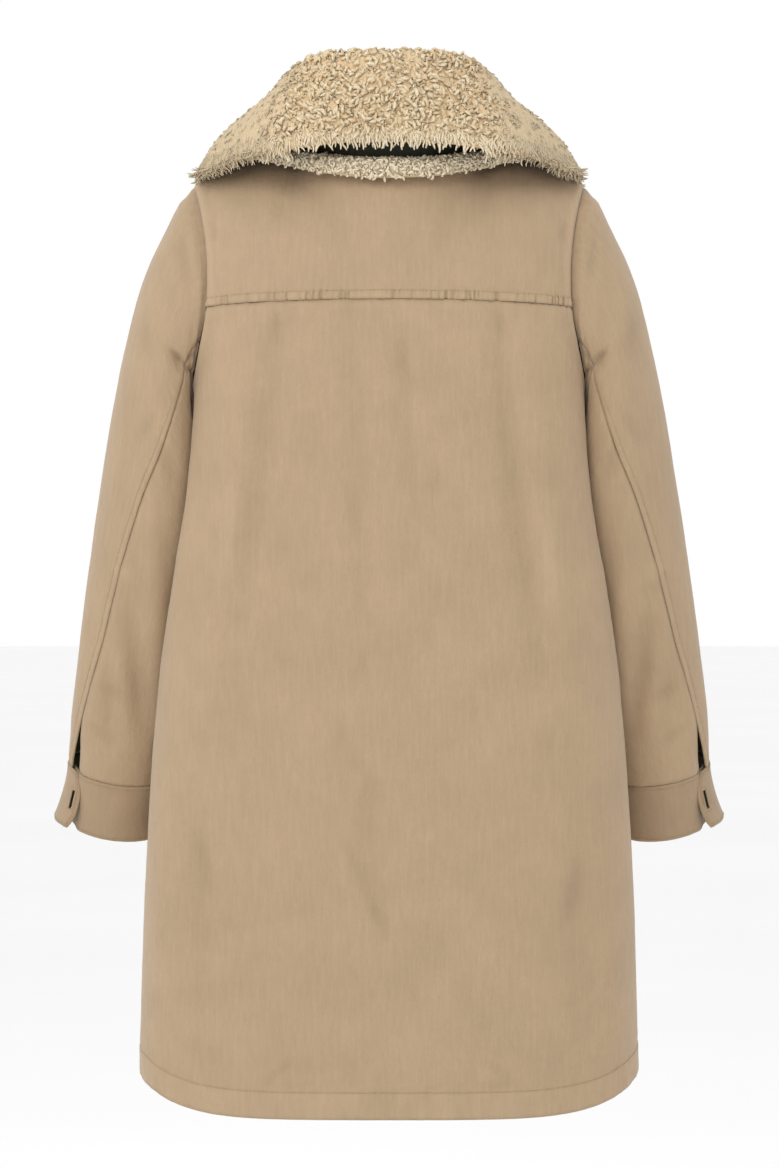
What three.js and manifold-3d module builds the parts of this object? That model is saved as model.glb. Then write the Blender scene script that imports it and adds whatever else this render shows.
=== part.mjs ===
// A worn, hollow, knee-length cotton parka with a large shearling collar, in millimetres.
// +Z is up, the front faces -Y, and the origin is where the wearer's neck and shoulders hold it:
// on the middle plane, at the height of the back neck seam. The wearer's left is +X.
import * as THREE from "three";
import { mergeVertices } from "three/addons/utils/BufferGeometryUtils.js";
import Module from "manifold-3d";

const wasm = await Module();
wasm.setup();

// Cloth
const CLOTH = 2.2; // coat cotton with its lining
const CUFF_CLOTH = 2.8; // two layers of cotton and a stiffener
const SEAM_GAP = 0.3;
const ARMHOLE_GAP = 1.2; // the body's edge and the sleeve's are faceted differently

// Heights of the body
const HEM_Z = -914;
const HEM_SIDE_RISE = 33; // the hem is cut higher at the side seams
const HEM_FRONT_RISE = 14;
const ARMPIT_Z = -238;
const YOKE_Z = -124;
const YOKE_SIDE_DIP = 5;
const ARMHOLE_MID_Z = -128;
const ARMHOLE_HALF_DEPTH = 79;

// Shoulders and neck
const SHOULDER_TIP = { x: 195, y: -12, z: -1 };
const NECK_SIDE = { x: 95, y: -12, z: 32 };
const NECK_BACK = { y: 80, z: 4 };
const NECK_FRONT = { y: -92, z: -52 };
const NECK_SHARE = 0.5; // share of a half yoke's columns that end on the neckline

// Front closing
const OVERLAP = 30; // each front passes the middle by this much
const OVERLAP_RAMP = 26;
const BUTTON = { radius: 11, thickness: 4.2, stand: 0.3, firstZ: -168, pitch: 138, count: 5 };
const CUFF_BUTTON = { radius: 7.5, thickness: 2.6, stand: 0.9, fromEnd: 0.045 };

// Body rings. side is the half width before the sleeves press it in, back and front are the depths.
const BODY = [
  { z: -930, side: 248.5, back: 150, front: 152, square: 3.0 },
  { z: -870, side: 247.5, back: 149, front: 151, square: 3.0 },
  { z: -790, side: 245.5, back: 148, front: 149, square: 3.0 },
  { z: -710, side: 243, back: 146, front: 147, square: 3.0 },
  { z: -615, side: 238.5, back: 144, front: 145, square: 3.1 },
  { z: -545, side: 233.5, back: 142, front: 144, square: 3.2 },
  { z: -476, side: 227, back: 140, front: 142, square: 3.3 },
  { z: -406, side: 219, back: 138, front: 141, square: 3.4 },
  { z: -346, side: 211, back: 136, front: 139, square: 3.5 },
  { z: -267, side: 202, back: 133, front: 137, square: 3.6 },
  { z: -197, side: 196, back: 129, front: 134, square: 3.6 },
  { z: -124, side: 192, back: 121, front: 128, square: 3.6 },
  { z: -60, side: 186, back: 112, front: 118, square: 3.4 },
];

// Sleeve sections from the armhole to the cuff seam: the outermost and innermost points seen from
// behind, the middle's place front to back, the half depth, how far the back hangs below the middle,
// and where the back seam and the front seam run, as shares of a turn from the outer side.
const SLEEVE = [
  { outX: 195, outZ: -1, inX: 181, inZ: -238, y: 0, deep: 79, drop: 0, seam: 0.325, seamF: 0.66 },
  { outX: 213.5, outZ: -13, inX: 185, inZ: -246, y: 0, deep: 81, drop: 0, seam: 0.32, seamF: 0.66 },
  { outX: 231, outZ: -55, inX: 185, inZ: -258, y: 0, deep: 82, drop: 0, seam: 0.312, seamF: 0.66 },
  { outX: 248.5, outZ: -105, inX: 182, inZ: -272, y: 1, deep: 82, drop: 0, seam: 0.3, seamF: 0.66 },
  { outX: 263, outZ: -164, inX: 179, inZ: -292, y: 2, deep: 80, drop: 1, seam: 0.28, seamF: 0.66 },
  { outX: 275, outZ: -226, inX: 177, inZ: -318, y: 2, deep: 76, drop: 3, seam: 0.252, seamF: 0.67 },
  { outX: 285.5, outZ: -290, inX: 178, inZ: -352, y: -1, deep: 71, drop: 6, seam: 0.213, seamF: 0.68 },
  { outX: 296.5, outZ: -358, inX: 184, inZ: -396, y: -8, deep: 65, drop: 10, seam: 0.183, seamF: 0.69 },
  { outX: 307, outZ: -424, inX: 192, inZ: -446, y: -18, deep: 59, drop: 13, seam: 0.16, seamF: 0.7 },
  { outX: 315, outZ: -480, inX: 201, inZ: -497, y: -29, deep: 54, drop: 15, seam: 0.132, seamF: 0.71 },
  { outX: 322, outZ: -535, inX: 211, inZ: -551, y: -40, deep: 49, drop: 16, seam: 0.102, seamF: 0.72 },
  { outX: 324.5, outZ: -578, inX: 219, inZ: -592, y: -49, deep: 45, drop: 17, seam: 0.074, seamF: 0.72 },
];
const SLIT = { length: 74, halfWidth: 3.2, sink: 5 }; // the open end of the back seam above the cuff
// The buttonhole end stands out over the button end, which is sunk, as shares of a turn.
const CUFF = { height: 62, inset: 3, start: 0.03, end: 1.13, round: 0.03, sink: 5 };
const CUFF_FLARE = { from: 0.84, to: 1.02, out: 12, swell: 1.8, lift: 0.07, liftFrom: 1.01, liftTo: 1.12 };
const BUTTONHOLE = { length: 20, width: 4.4, fromEnd: 9 };

// How the sleeves press the body's sides in: innermost X, middle Y and half depth of the arm.
const PRESS = [
  { z: -760, x: 300, y: -62, deep: 46 },
  { z: -700, x: 234, y: -62, deep: 50 },
  { z: -655, x: 217, y: -62, deep: 52 },
  { z: -620, x: 214, y: -57, deep: 53 },
  { z: -584, x: 214, y: -49, deep: 54 },
  { z: -545, x: 209, y: -40, deep: 57 },
  { z: -495, x: 199, y: -29, deep: 62 },
  { z: -446, x: 190, y: -18, deep: 67 },
  { z: -396, x: 182, y: -8, deep: 73 },
  { z: -352, x: 176, y: -1, deep: 79 },
  { z: -318, x: 174, y: 2, deep: 84 },
  { z: -280, x: 177, y: 2, deep: 88 },
  { z: -238, x: 181, y: 0, deep: 90 },
  { z: -190, x: 200, y: 0, deep: 92 },
  { z: -124, x: 260, y: 0, deep: 92 },
];
const PRESS_CLEARANCE = 5;
const PRESS_SOFTNESS = 7;
const PRESS_BOW = 27; // the groove is this much shallower half way to its edge

// Soft folds as lines in the X-Z plane, each a trough (negative) or ridge, in millimetres.
const BACK_FOLDS = [
  { x0: 103, z0: -128, x1: 152, z1: -470, width: 15, depth: -4 },
  { x0: 128, z0: -140, x1: 178, z1: -520, width: 18, depth: 3 },
  { x0: -103, z0: -128, x1: -150, z1: -500, width: 15, depth: -4 },
  { x0: -128, z0: -140, x1: -180, z1: -540, width: 18, depth: 3 },
  { x0: 34, z0: -135, x1: 22, z1: -520, width: 13, depth: -2.4 },
  { x0: -8, z0: -160, x1: -28, z1: -330, width: 12, depth: -2.2 },
  { x0: 26, z0: -560, x1: 4, z1: -740, width: 14, depth: -2.2 },
  { x0: 176, z0: -600, x1: 190, z1: -860, width: 20, depth: -2.6 },
  { x0: -176, z0: -600, x1: -190, z1: -860, width: 20, depth: -2.6 },
];
const FRONT_FOLDS = [
  { x0: 96, z0: -150, x1: 140, z1: -560, width: 17, depth: -4 },
  { x0: -102, z0: -160, x1: -150, z1: -520, width: 17, depth: -4 },
  { x0: 128, z0: -190, x1: 176, z1: -620, width: 18, depth: 3 },
  { x0: -130, z0: -180, x1: -172, z1: -600, width: 18, depth: 3 },
  { x0: 70, z0: -520, x1: 98, z1: -850, width: 18, depth: -3 },
  { x0: -66, z0: -480, x1: -104, z1: -830, width: 18, depth: -3 },
];
const SLEEVE_FOLDS = [
  { x0: 258, z0: -410, x1: 242, z1: -560, width: 11, depth: -4 },
  { x0: 232, z0: -330, x1: 226, z1: -500, width: 12, depth: 3 },
  { x0: 286, z0: -440, x1: 276, z1: -560, width: 10, depth: -2.6 },
  { x0: 216, z0: -172, x1: 192, z1: -198, width: 7, depth: -3.4 },
  { x0: 206, z0: -50, x1: 196, z1: -110, width: 8, depth: -3.4 },
  { x0: 250, z0: -190, x1: 262, z1: -330, width: 13, depth: -2.4 },
];

// Collar sections by their turn from the back middle, in degrees: radius from the neck's axis and
// height of the fold and of the fall's edge, and the half thickness of the fall with its pile.
const NECK_AXIS_Y = -5;
const COLLAR = [
  { turn: 0, foldR: 97, foldZ: 110, edgeR: 113, edgeZ: 36, half: 9, bulge: 5 },
  { turn: 24, foldR: 98, foldZ: 111, edgeR: 122, edgeZ: 35, half: 9, bulge: 6 },
  { turn: 46, foldR: 100, foldZ: 108, edgeR: 143, edgeZ: 29, half: 9, bulge: 7 },
  { turn: 64, foldR: 102, foldZ: 99, edgeR: 167, edgeZ: 21, half: 9, bulge: 9 },
  { turn: 76, foldR: 102, foldZ: 91, edgeR: 180, edgeZ: 14, half: 9, bulge: 10 },
  { turn: 88, foldR: 101, foldZ: 82, edgeR: 187, edgeZ: 14, half: 9, bulge: 11 },
  { turn: 104, foldR: 99, foldZ: 68, edgeR: 188, edgeZ: 2, half: 9, bulge: 11 },
  { turn: 128, foldR: 99, foldZ: 46, edgeR: 186, edgeZ: -50, half: 9, bulge: 9 },
  { turn: 150, foldR: 98, foldZ: 18, edgeR: 172, edgeZ: -92, half: 9, bulge: 7 },
  { turn: 166, foldR: 97, foldZ: -3, edgeR: 163, edgeZ: -112, half: 8.5, bulge: 6 },
  { turn: 174, foldR: 96, foldZ: -10, edgeR: 160, edgeZ: -104, half: 7.5, bulge: 5 },
];
const COLLAR_END = 174;
const STAND = { cloth: 1.8, lean: 2.4, topBelowFold: 24 };
const ROLL = [
  { turn: 0, out: 12.5, wide: 9, tall: 11.3 },
  { turn: 30, out: 12.5, wide: 9, tall: 11 },
  { turn: 50, out: 15, wide: 8.5, tall: 10 },
  { turn: 65, out: 32, wide: 7, tall: 7.5 },
  { turn: 74, out: 60, wide: 5, tall: 5 },
];
const ROLL_RISE = 0.5;
const ROLL_CLEARANCE = 0.8;

// Plain helpers

const lerp = (a, b, t) => a + (b - a) * t;
const ease = (t) => {
  const c = Math.min(1, Math.max(0, t));
  return c * c * (3 - 2 * c);
};

// A smooth curve through a table's column, without overshoot (monotone cubic).
function through(rows, by, column) {
  const list = [...rows].sort((p, q) => p[by] - q[by]);
  const xs = list.map((r) => r[by]);
  const ys = list.map((r) => r[column]);
  const last = xs.length - 1;
  const rise = xs.slice(1).map((x, i) => (ys[i + 1] - ys[i]) / (x - xs[i]));
  const slope = xs.map((_, i) => {
    if (i === 0) return rise[0];
    if (i === last) return rise[last - 1];
    return rise[i - 1] * rise[i] <= 0 ? 0 : (2 * rise[i - 1] * rise[i]) / (rise[i - 1] + rise[i]);
  });
  return (x) => {
    const c = Math.min(xs[last], Math.max(xs[0], x));
    let i = 0;
    while (i < last - 1 && c > xs[i + 1]) i += 1;
    const h = xs[i + 1] - xs[i];
    const t = (c - xs[i]) / h;
    const u = 1 - t;
    return (
      ys[i] * (1 + 2 * t) * u * u +
      slope[i] * h * t * u * u +
      ys[i + 1] * t * t * (3 - 2 * t) -
      slope[i + 1] * h * t * t * u
    );
  };
}

const columnsOf = (rows, by, names) =>
  Object.fromEntries(names.map((name) => [name, through(rows, by, name)]));

const body = columnsOf(BODY, "z", ["side", "back", "front", "square"]);
const press = columnsOf(PRESS, "z", ["x", "y", "deep"]);
const collarAt = columnsOf(COLLAR, "turn", Object.keys(COLLAR[0]));
const sleeveRows = SLEEVE.map((row, i) => ({ ...row, s: i / (SLEEVE.length - 1) }));
const sleeveAt = columnsOf(sleeveRows, "s", Object.keys(SLEEVE[0]));

const vec = (x, y, z) => new THREE.Vector3(x, y, z);

// The push of a set of folds at a point, in millimetres outwards.
function foldPush(folds, x, z) {
  let push = 0;
  for (const f of folds) {
    const dx = f.x1 - f.x0;
    const dz = f.z1 - f.z0;
    const t = ((x - f.x0) * dx + (z - f.z0) * dz) / (dx * dx + dz * dz);
    const c = Math.min(1, Math.max(0, t));
    const away = Math.hypot(x - f.x0 - c * dx, z - f.z0 - c * dz) / f.width;
    const taper = 0.35 + 0.65 * Math.sin(Math.PI * c);
    push += f.depth * taper * Math.exp(-away * away);
  }
  return push;
}

// The wall of cloth between a grid of outer points and the same points moved in along the normals.
function wall(rows, thickness) {
  const m = rows.length;
  const n = rows[0].length;
  const positions = [];
  for (const row of rows) for (const p of row) positions.push(p.at.x, p.at.y, p.at.z);
  for (const row of rows)
    for (const p of row) {
      const t = p.thickness ?? thickness;
      positions.push(p.at.x - p.out.x * t, p.at.y - p.out.y * t, p.at.z - p.out.z * t);
    }
  const inner = m * n;
  const index = [];
  const quad = (a, b, c, d) => index.push(a, b, c, a, c, d);
  const span = (p, q) => rows[p[0]][p[1]].at.distanceTo(rows[q[0]][q[1]].at);
  for (let i = 0; i < m - 1; i += 1)
    for (let j = 0; j < n - 1; j += 1) {
      const [a, b, c, d] = [i * n + j, i * n + j + 1, (i + 1) * n + j + 1, (i + 1) * n + j];
      if (span([i, j], [i + 1, j + 1]) < span([i, j + 1], [i + 1, j])) {
        quad(a, b, c, d);
        quad(inner + c, inner + b, inner + a, inner + d);
      } else {
        quad(b, c, d, a);
        quad(inner + b, inner + a, inner + d, inner + c);
      }
    }
  for (let j = 0; j < n - 1; j += 1) {
    quad(j + 1, j, inner + j, inner + j + 1);
    const e = (m - 1) * n + j;
    quad(e + 1, inner + e + 1, inner + e, e);
  }
  for (let i = 0; i < m - 1; i += 1) {
    const [a, d] = [i * n, (i + 1) * n];
    quad(a, d, inner + d, inner + a);
    const [b, c] = [i * n + n - 1, (i + 1) * n + n - 1];
    quad(b, inner + b, inner + c, c);
  }
  return facingOut(positions, index);
}

// A closed solid lofted through rings of points, with flat ends.
function loft(rings) {
  const n = rings[0].length;
  const positions = rings.flatMap((ring) => ring.flatMap((p) => [p.x, p.y, p.z]));
  const index = [];
  for (let i = 0; i < rings.length - 1; i += 1)
    for (let j = 0; j < n; j += 1) {
      const k = (j + 1) % n;
      index.push(i * n + j, i * n + k, (i + 1) * n + k);
      index.push(i * n + j, (i + 1) * n + k, (i + 1) * n + j);
    }
  const caps = [0, rings.length - 1];
  caps.forEach((row, side) => {
    const middle = rings[row].reduce((sum, p) => sum.add(p), vec(0, 0, 0)).divideScalar(n);
    const at = positions.length / 3;
    positions.push(middle.x, middle.y, middle.z);
    for (let j = 0; j < n; j += 1) {
      const k = (j + 1) % n;
      if (side === 0) index.push(at, row * n + k, row * n + j);
      else index.push(at, row * n + j, row * n + k);
    }
  });
  return facingOut(positions, index);
}

// A geometry whose faces point outwards, whichever way round its grid was built.
function facingOut(positions, index) {
  let volume = 0;
  const at = (i) => vec(positions[3 * i], positions[3 * i + 1], positions[3 * i + 2]);
  for (let i = 0; i < index.length; i += 3)
    volume += at(index[i]).dot(at(index[i + 1]).cross(at(index[i + 2])));
  if (volume < 0)
    for (let i = 0; i < index.length; i += 3)
      [index[i + 1], index[i + 2]] = [index[i + 2], index[i + 1]];
  const geometry = new THREE.BufferGeometry();
  geometry.setAttribute("position", new THREE.Float32BufferAttribute(positions, 3));
  geometry.setIndex(index);
  return geometry;
}

// Body rings

// A point of the body's ring at an angle from the wearer's left side and a height.
function ringPoint(angle, z) {
  const c = Math.cos(angle);
  const s = Math.sin(angle);
  const a = body.side(z);
  const b = s >= 0 ? body.back(z) : body.front(z);
  const n = body.square(z);
  const r = Math.pow(Math.pow(Math.abs(c) / a, n) + Math.pow(Math.abs(s) / b, n), -1 / n);
  const y = r * s;
  const bow = Math.pow((y - press.y(z)) / press.deep(z), 2);
  const limit = press.x(z) - PRESS_CLEARANCE + PRESS_BOW * bow * (1 + bow);
  const beyond = (Math.abs(r * c) - limit) / PRESS_SOFTNESS;
  const pressed = beyond > 30 ? beyond : Math.log1p(Math.exp(beyond));
  const x = Math.sign(c) * (Math.abs(r * c) - PRESS_SOFTNESS * pressed);
  return vec(x, y, z);
}

// The angle on one side of the ring at which its surface is at a given Y.
function angleAtY(y, z) {
  let low = y >= 0 ? 0 : -Math.PI / 2;
  let high = y >= 0 ? Math.PI / 2 : 0;
  for (let i = 0; i < 30; i += 1) {
    const mid = (low + high) / 2;
    if (ringPoint(mid, z).y < y) low = mid;
    else high = mid;
  }
  return (low + high) / 2;
}

// How far front or back the armhole's edge is at a height.
function armholeY(z) {
  if (z <= ARMPIT_Z) return 0;
  const t = (ARMHOLE_MID_Z - z) / (ARMHOLE_MID_Z - ARMPIT_Z);
  return ARMHOLE_HALF_DEPTH * Math.sqrt(Math.max(0, 1 - t * t));
}

// The height of a ring's point where the rows bend down to the curved hem.
function hemHeight(z, x, y) {
  const near = ease((z - HEM_Z - 330) / -330);
  const side = Math.pow(Math.min(1, Math.abs(x) / body.side(z)), 6);
  const front = y < 0 ? HEM_FRONT_RISE * (1 - side) * ease(-y / 60) : 0;
  return z + near * (HEM_SIDE_RISE * side + front);
}

// The angles of a row's columns, given as shares of the way from the left side seam to the right.
// The columns stay put in the middle and crowd together at the armholes.
function rowAngles(z, isBack, shares) {
  const way = isBack ? 1 : -1;
  const steps = 160;
  const angles = [];
  const lengths = [0];
  let before = null;
  for (let i = 0; i <= steps; i += 1) {
    const angle = way * lerp(0, Math.PI, i / steps);
    const p = ringPoint(angle, z);
    if (before) lengths.push(lengths[i - 1] + p.distanceTo(before));
    angles.push(angle);
    before = p;
  }
  const total = lengths[steps];
  const edgeAngle = Math.abs(angleAtY(way * Math.max(SEAM_GAP / 2, armholeY(z)), z));
  const edgeAt = (edgeAngle / Math.PI) * steps;
  const whole = Math.min(steps - 1, Math.floor(edgeAt));
  const edge = lerp(lengths[whole], lengths[whole + 1], edgeAt - whole);
  return shares.map((share) => {
    const off = 1 - 2 * share;
    const want = share * total + Math.sign(off) * edge * off * off;
    let i = 1;
    while (i < steps && lengths[i] < want) i += 1;
    const t = (want - lengths[i - 1]) / (lengths[i] - lengths[i - 1]);
    return lerp(angles[i - 1], angles[i], t);
  });
}

// Outward normal of a surface given as a function of two numbers, whose cross product faces way.
function normalOf(surface, u, v, du, dv, way) {
  const a = surface(u + du, v).sub(surface(u - du, v));
  const b = surface(u, v + dv).sub(surface(u, v - dv));
  return a.cross(b).normalize().multiplyScalar(way);
}

// A body point with its folds and its outward normal.
function bodyPoint(angle, z, folds, sink = 0) {
  const p = ringPoint(angle, z);
  const n = normalOf(ringPoint, angle, z, 1e-3, 0.5, 1);
  const push = foldPush(folds, p.x, p.z) * ease(Math.abs(p.y) / 60) - sink;
  const at = p.clone().addScaledVector(n, push);
  at.z = hemHeight(z, p.x, p.y);
  return { at, out: n };
}

// Upper body: each column is a curve from the chest line to the shoulder or neckline

const chestHeight = (x, z) => z - YOKE_SIDE_DIP * Math.pow(Math.min(1, Math.abs(x) / 180), 2);

// Where a column ends: on the neckline near the middle, on the shoulder seam further out.
function topPoint(u, isBack) {
  const side = Math.sign(u) || 1;
  const share = Math.abs(u);
  if (share <= NECK_SHARE) {
    const turn = (Math.PI / 2) * (share / NECK_SHARE);
    const end = isBack ? NECK_BACK : NECK_FRONT;
    return vec(
      -side * NECK_SIDE.x * Math.sin(turn),
      lerp(NECK_SIDE.y, end.y, Math.cos(turn)),
      lerp(NECK_SIDE.z, end.z, Math.pow(Math.cos(turn), isBack ? 1 : 1.25)),
    );
  }
  const t = (share - NECK_SHARE) / (1 - NECK_SHARE);
  return vec(
    -side * lerp(NECK_SIDE.x, SHOULDER_TIP.x, t),
    lerp(NECK_SIDE.y, SHOULDER_TIP.y, t),
    lerp(NECK_SIDE.z, SHOULDER_TIP.z, t * t * (1.25 - 0.25 * t)),
  );
}

// u runs from -1 at the wearer's left armhole to 1 at the right one, t from the chest line up.
function upperSurface(isBack) {
  const shares = Array.from({ length: 241 }, (_, i) => i / 240);
  const angles = rowAngles(YOKE_Z, isBack, shares);
  const angleOf = (u) => {
    const at = Math.min(239.999, Math.max(0, ((u + 1) / 2) * 240));
    const i = Math.floor(at);
    return lerp(angles[i], angles[i + 1], at - i);
  };
  return (u, t) => {
    const c = Math.min(1, Math.max(-1, u));
    const angle = angleOf(c);
    const low = ringPoint(angle, YOKE_Z);
    const lean = ringPoint(angle, YOKE_Z + 2).sub(low).divideScalar(2);
    low.z = chestHeight(low.x, YOKE_Z);
    const high = topPoint(c, isBack);
    const neck = 1 - ease((Math.abs(c) - 0.2) / 0.4);
    const arrive = isBack
      ? vec(0, lerp(-1, -0.5, neck), lerp(0.06, 0.87, neck))
      : vec(0, lerp(1, 0.42, neck), lerp(0.16, 0.9, neck));
    const reach = Math.abs(high.y - low.y) * 0.42 + 14 * neck;
    const climb = (high.z - low.z) * 0.52;
    const p1 = low.clone().addScaledVector(lean, climb);
    const p2 = high.clone().addScaledVector(arrive, -Math.max(24, reach));
    const q = 1 - t;
    const p = low
      .multiplyScalar(q * q * q)
      .addScaledVector(p1, 3 * q * q * t)
      .addScaledVector(p2, 3 * q * t * t)
      .addScaledVector(high, t * t * t);
    return p;
  };
}

const upperBack = upperSurface(true);
const upperFront = upperSurface(false);

function upperPoint(surface, u, t, folds, sink = 0) {
  const p = surface(u, t);
  const inU = Math.min(0.998, Math.max(-0.998, u));
  const inT = Math.min(0.998, Math.max(0.002, t));
  const n = normalOf(surface, inU, inT, 1e-3, 1e-3, surface === upperBack ? 1 : -1);
  const push = foldPush(folds, p.x, p.z) * (1 - t) - sink;
  const at = p.clone().addScaledVector(n, push);
  if (t === 1 && Math.abs(u) >= NECK_SHARE) n.setY(0).normalize();
  return { at, out: n };
}

// Panels

const BODY_ROWS = 12;
const ARM_ROWS = 6;
const YOKE_ROWS = 6;
const BACK_COLUMNS = 28;
const FRONT_COLUMNS = 15;

// Heights of the rows from the hem to the chest line.
function rowHeights() {
  const low = Array.from({ length: BODY_ROWS + 1 }, (_, i) => lerp(HEM_Z, ARMPIT_Z, i / BODY_ROWS));
  const high = Array.from({ length: ARM_ROWS }, (_, i) => {
    const turn = ((i + 1) / ARM_ROWS) * (Math.PI / 2);
    return lerp(ARMPIT_Z, YOKE_Z, Math.sin(turn - Math.PI / 2) + 1);
  });
  return [...low, ...high];
}

function backPanel() {
  const shares = Array.from({ length: BACK_COLUMNS + 1 }, (_, i) => i / BACK_COLUMNS);
  const rows = rowHeights().map((z) => {
    return rowAngles(z, true, shares).map((angle) => {
      const p = bodyPoint(angle, z, BACK_FOLDS);
      if (z > YOKE_Z - 1) p.at.z = chestHeight(p.at.x, z) - SEAM_GAP;
      return p;
    });
  });
  return wall(rows, CLOTH);
}

function yokePanel() {
  const rows = Array.from({ length: YOKE_ROWS + 1 }, (_, i) => {
    const t = i / YOKE_ROWS;
    return Array.from({ length: BACK_COLUMNS + 1 }, (__, j) => {
      const u = (2 * j) / BACK_COLUMNS - 1;
      const p = upperPoint(upperBack, u, t, BACK_FOLDS);
      if (i === YOKE_ROWS) p.at.y += SEAM_GAP / 2;
      return p;
    });
  });
  return wall(rows, CLOTH);
}

// The share of a front row at which the panel's closing edge lies past the middle.
function lowShare(z) {
  let [low, high] = [0.5, 0.62];
  for (let i = 0; i < 20; i += 1) {
    const mid = (low + high) / 2;
    if (ringPoint(rowAngles(z, false, [mid])[0], z).x > -OVERLAP) low = mid;
    else high = mid;
  }
  return low;
}

// One front. side is 1 for the wearer's left, which passes under, and -1 for the right, on top.
function frontPanel(side) {
  const under = side === 1;
  const drop = CLOTH + 0.7;
  const sinkAt = (x) => (under ? drop * ease((OVERLAP + OVERLAP_RAMP - x) / OVERLAP_RAMP) : 0);
  const rows = rowHeights().map((z) => {
    const past = lowShare(z);
    const shares = Array.from({ length: FRONT_COLUMNS + 1 }, (_, j) => (past * j) / FRONT_COLUMNS);
    return rowAngles(z, false, shares).map((angle) => {
      const turned = side === 1 ? angle : -Math.PI - angle;
      const x = ringPoint(turned, z).x;
      const p = bodyPoint(turned, z, FRONT_FOLDS, sinkAt(x));
      if (z > YOKE_Z - 1) p.at.z = chestHeight(p.at.x, z);
      return p;
    });
  });
  const topShare = (2 / Math.PI) * NECK_SHARE * Math.asin(OVERLAP / NECK_SIDE.x);
  const chestShare = 2 * lowShare(YOKE_Z) - 1;
  for (let i = 1; i <= YOKE_ROWS; i += 1) {
    const t = i / YOKE_ROWS;
    const past = lerp(chestShare, topShare, t);
    rows.push(
      Array.from({ length: FRONT_COLUMNS + 1 }, (_, j) => {
        const u = -1 + ((1 + past) * j) / FRONT_COLUMNS;
        const turned = side === 1 ? u : -u;
        const x = upperFront(turned, t).x;
        const p = upperPoint(upperFront, turned, t, FRONT_FOLDS, sinkAt(x));
        if (i === YOKE_ROWS) p.at.y -= SEAM_GAP / 2;
        return p;
      }),
    );
  }
  return wall(rows, CLOTH);
}

// Sleeves are made on the wearer's left and mirrored for the right

// The armhole's edge, from the shoulder tip down the back, under the arm and up the front.
function armholeLoop() {
  const points = [];
  const steps = 24;
  for (let i = 0; i <= steps; i += 1) points.push(upperBack(-1, 1 - i / steps));
  for (let i = 1; i <= steps; i += 1) {
    const z = lerp(YOKE_Z, ARMPIT_Z, 1 - Math.cos(((i / steps) * Math.PI) / 2));
    points.push(ringPoint(angleAtY(armholeY(z), z), z));
  }
  for (let i = 1; i <= steps; i += 1) {
    const z = lerp(ARMPIT_Z, YOKE_Z, Math.sin(((i / steps) * Math.PI) / 2));
    points.push(ringPoint(angleAtY(-armholeY(z), z), z));
  }
  for (let i = 1; i < steps; i += 1) points.push(upperFront(-1, i / steps));
  return points;
}

const LOOP = (() => {
  const points = armholeLoop();
  const lengths = [0];
  points.forEach((p, i) => {
    const next = points[(i + 1) % points.length];
    lengths.push(lengths[i] + p.distanceTo(next));
  });
  return { points, lengths, total: lengths[points.length] };
})();

function loopPoint(share) {
  const want = (share - Math.floor(share)) * LOOP.total;
  let i = 0;
  while (i < LOOP.points.length - 1 && LOOP.lengths[i + 1] < want) i += 1;
  const t = (want - LOOP.lengths[i]) / (LOOP.lengths[i + 1] - LOOP.lengths[i]);
  return LOOP.points[i].clone().lerp(LOOP.points[(i + 1) % LOOP.points.length], t);
}

// The frame of a sleeve section: its middle, its outward direction and its half width.
function sectionFrame(s) {
  const out = vec(sleeveAt.outX(s), sleeveAt.y(s), sleeveAt.outZ(s));
  const inn = vec(sleeveAt.inX(s), sleeveAt.y(s), sleeveAt.inZ(s));
  const middle = out.clone().add(inn).multiplyScalar(0.5);
  const half = out.distanceTo(inn) / 2;
  return { middle, half, outward: out.sub(middle).normalize() };
}

const FIRST = sectionFrame(0);
const AXIS_FIRST = FIRST.outward.clone().cross(vec(0, 1, 0)).normalize().negate();

// A sleeve point at a share of the way down, s, and a share of a turn from the outer side.
function sleeveSurface(turn, s) {
  const { middle, half, outward } = sectionFrame(s);
  const angle = 2 * Math.PI * turn;
  const deep = sleeveAt.deep(s);
  let across = Math.cos(angle) * half;
  let depth = Math.sin(angle) * deep;
  let along = 0;
  const own = 1 - ease(s / 0.3);
  if (own > 0) {
    const q = loopPoint(turn).sub(FIRST.middle);
    across = lerp(across, (q.dot(FIRST.outward) * half) / FIRST.half, own);
    depth = lerp(depth, (q.y * deep) / SLEEVE[0].deep, own);
    along = q.dot(AXIS_FIRST) * own;
  }
  const axis = outward.clone().cross(vec(0, 1, 0)).normalize().negate();
  const p = middle.addScaledVector(outward, across).addScaledVector(axis, along);
  p.y += depth;
  p.z -= sleeveAt.drop(s) * Math.sin(angle);
  return p;
}

// seam is the turn that a panel's edge shares with its neighbour, so that both edges face one way.
function sleevePoint(turn, s, seam = turn) {
  const p = sleeveSurface(turn, s);
  const inS = Math.min(0.999, Math.max(0.001, s));
  const n = normalOf(sleeveSurface, seam, inS, 1e-3, 1e-3, -1);
  const push = foldPush(SLEEVE_FOLDS, p.x, p.z) * ease(s * 8) * ease((1 - s) * 7);
  return { at: p.clone().addScaledVector(n, push * Math.abs(n.y)), out: n };
}

const SLEEVE_ROWS = 19;
const UPPER_COLUMNS = 12;
const UNDER_COLUMNS = 9;

// How far the slit is open at s, from 0 above it to 1 at the cuff.
const SLEEVE_LENGTH = 600;
const slitOpen = (s) => ease(1 - ((1 - s) * SLEEVE_LENGTH) / SLIT.length);

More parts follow.
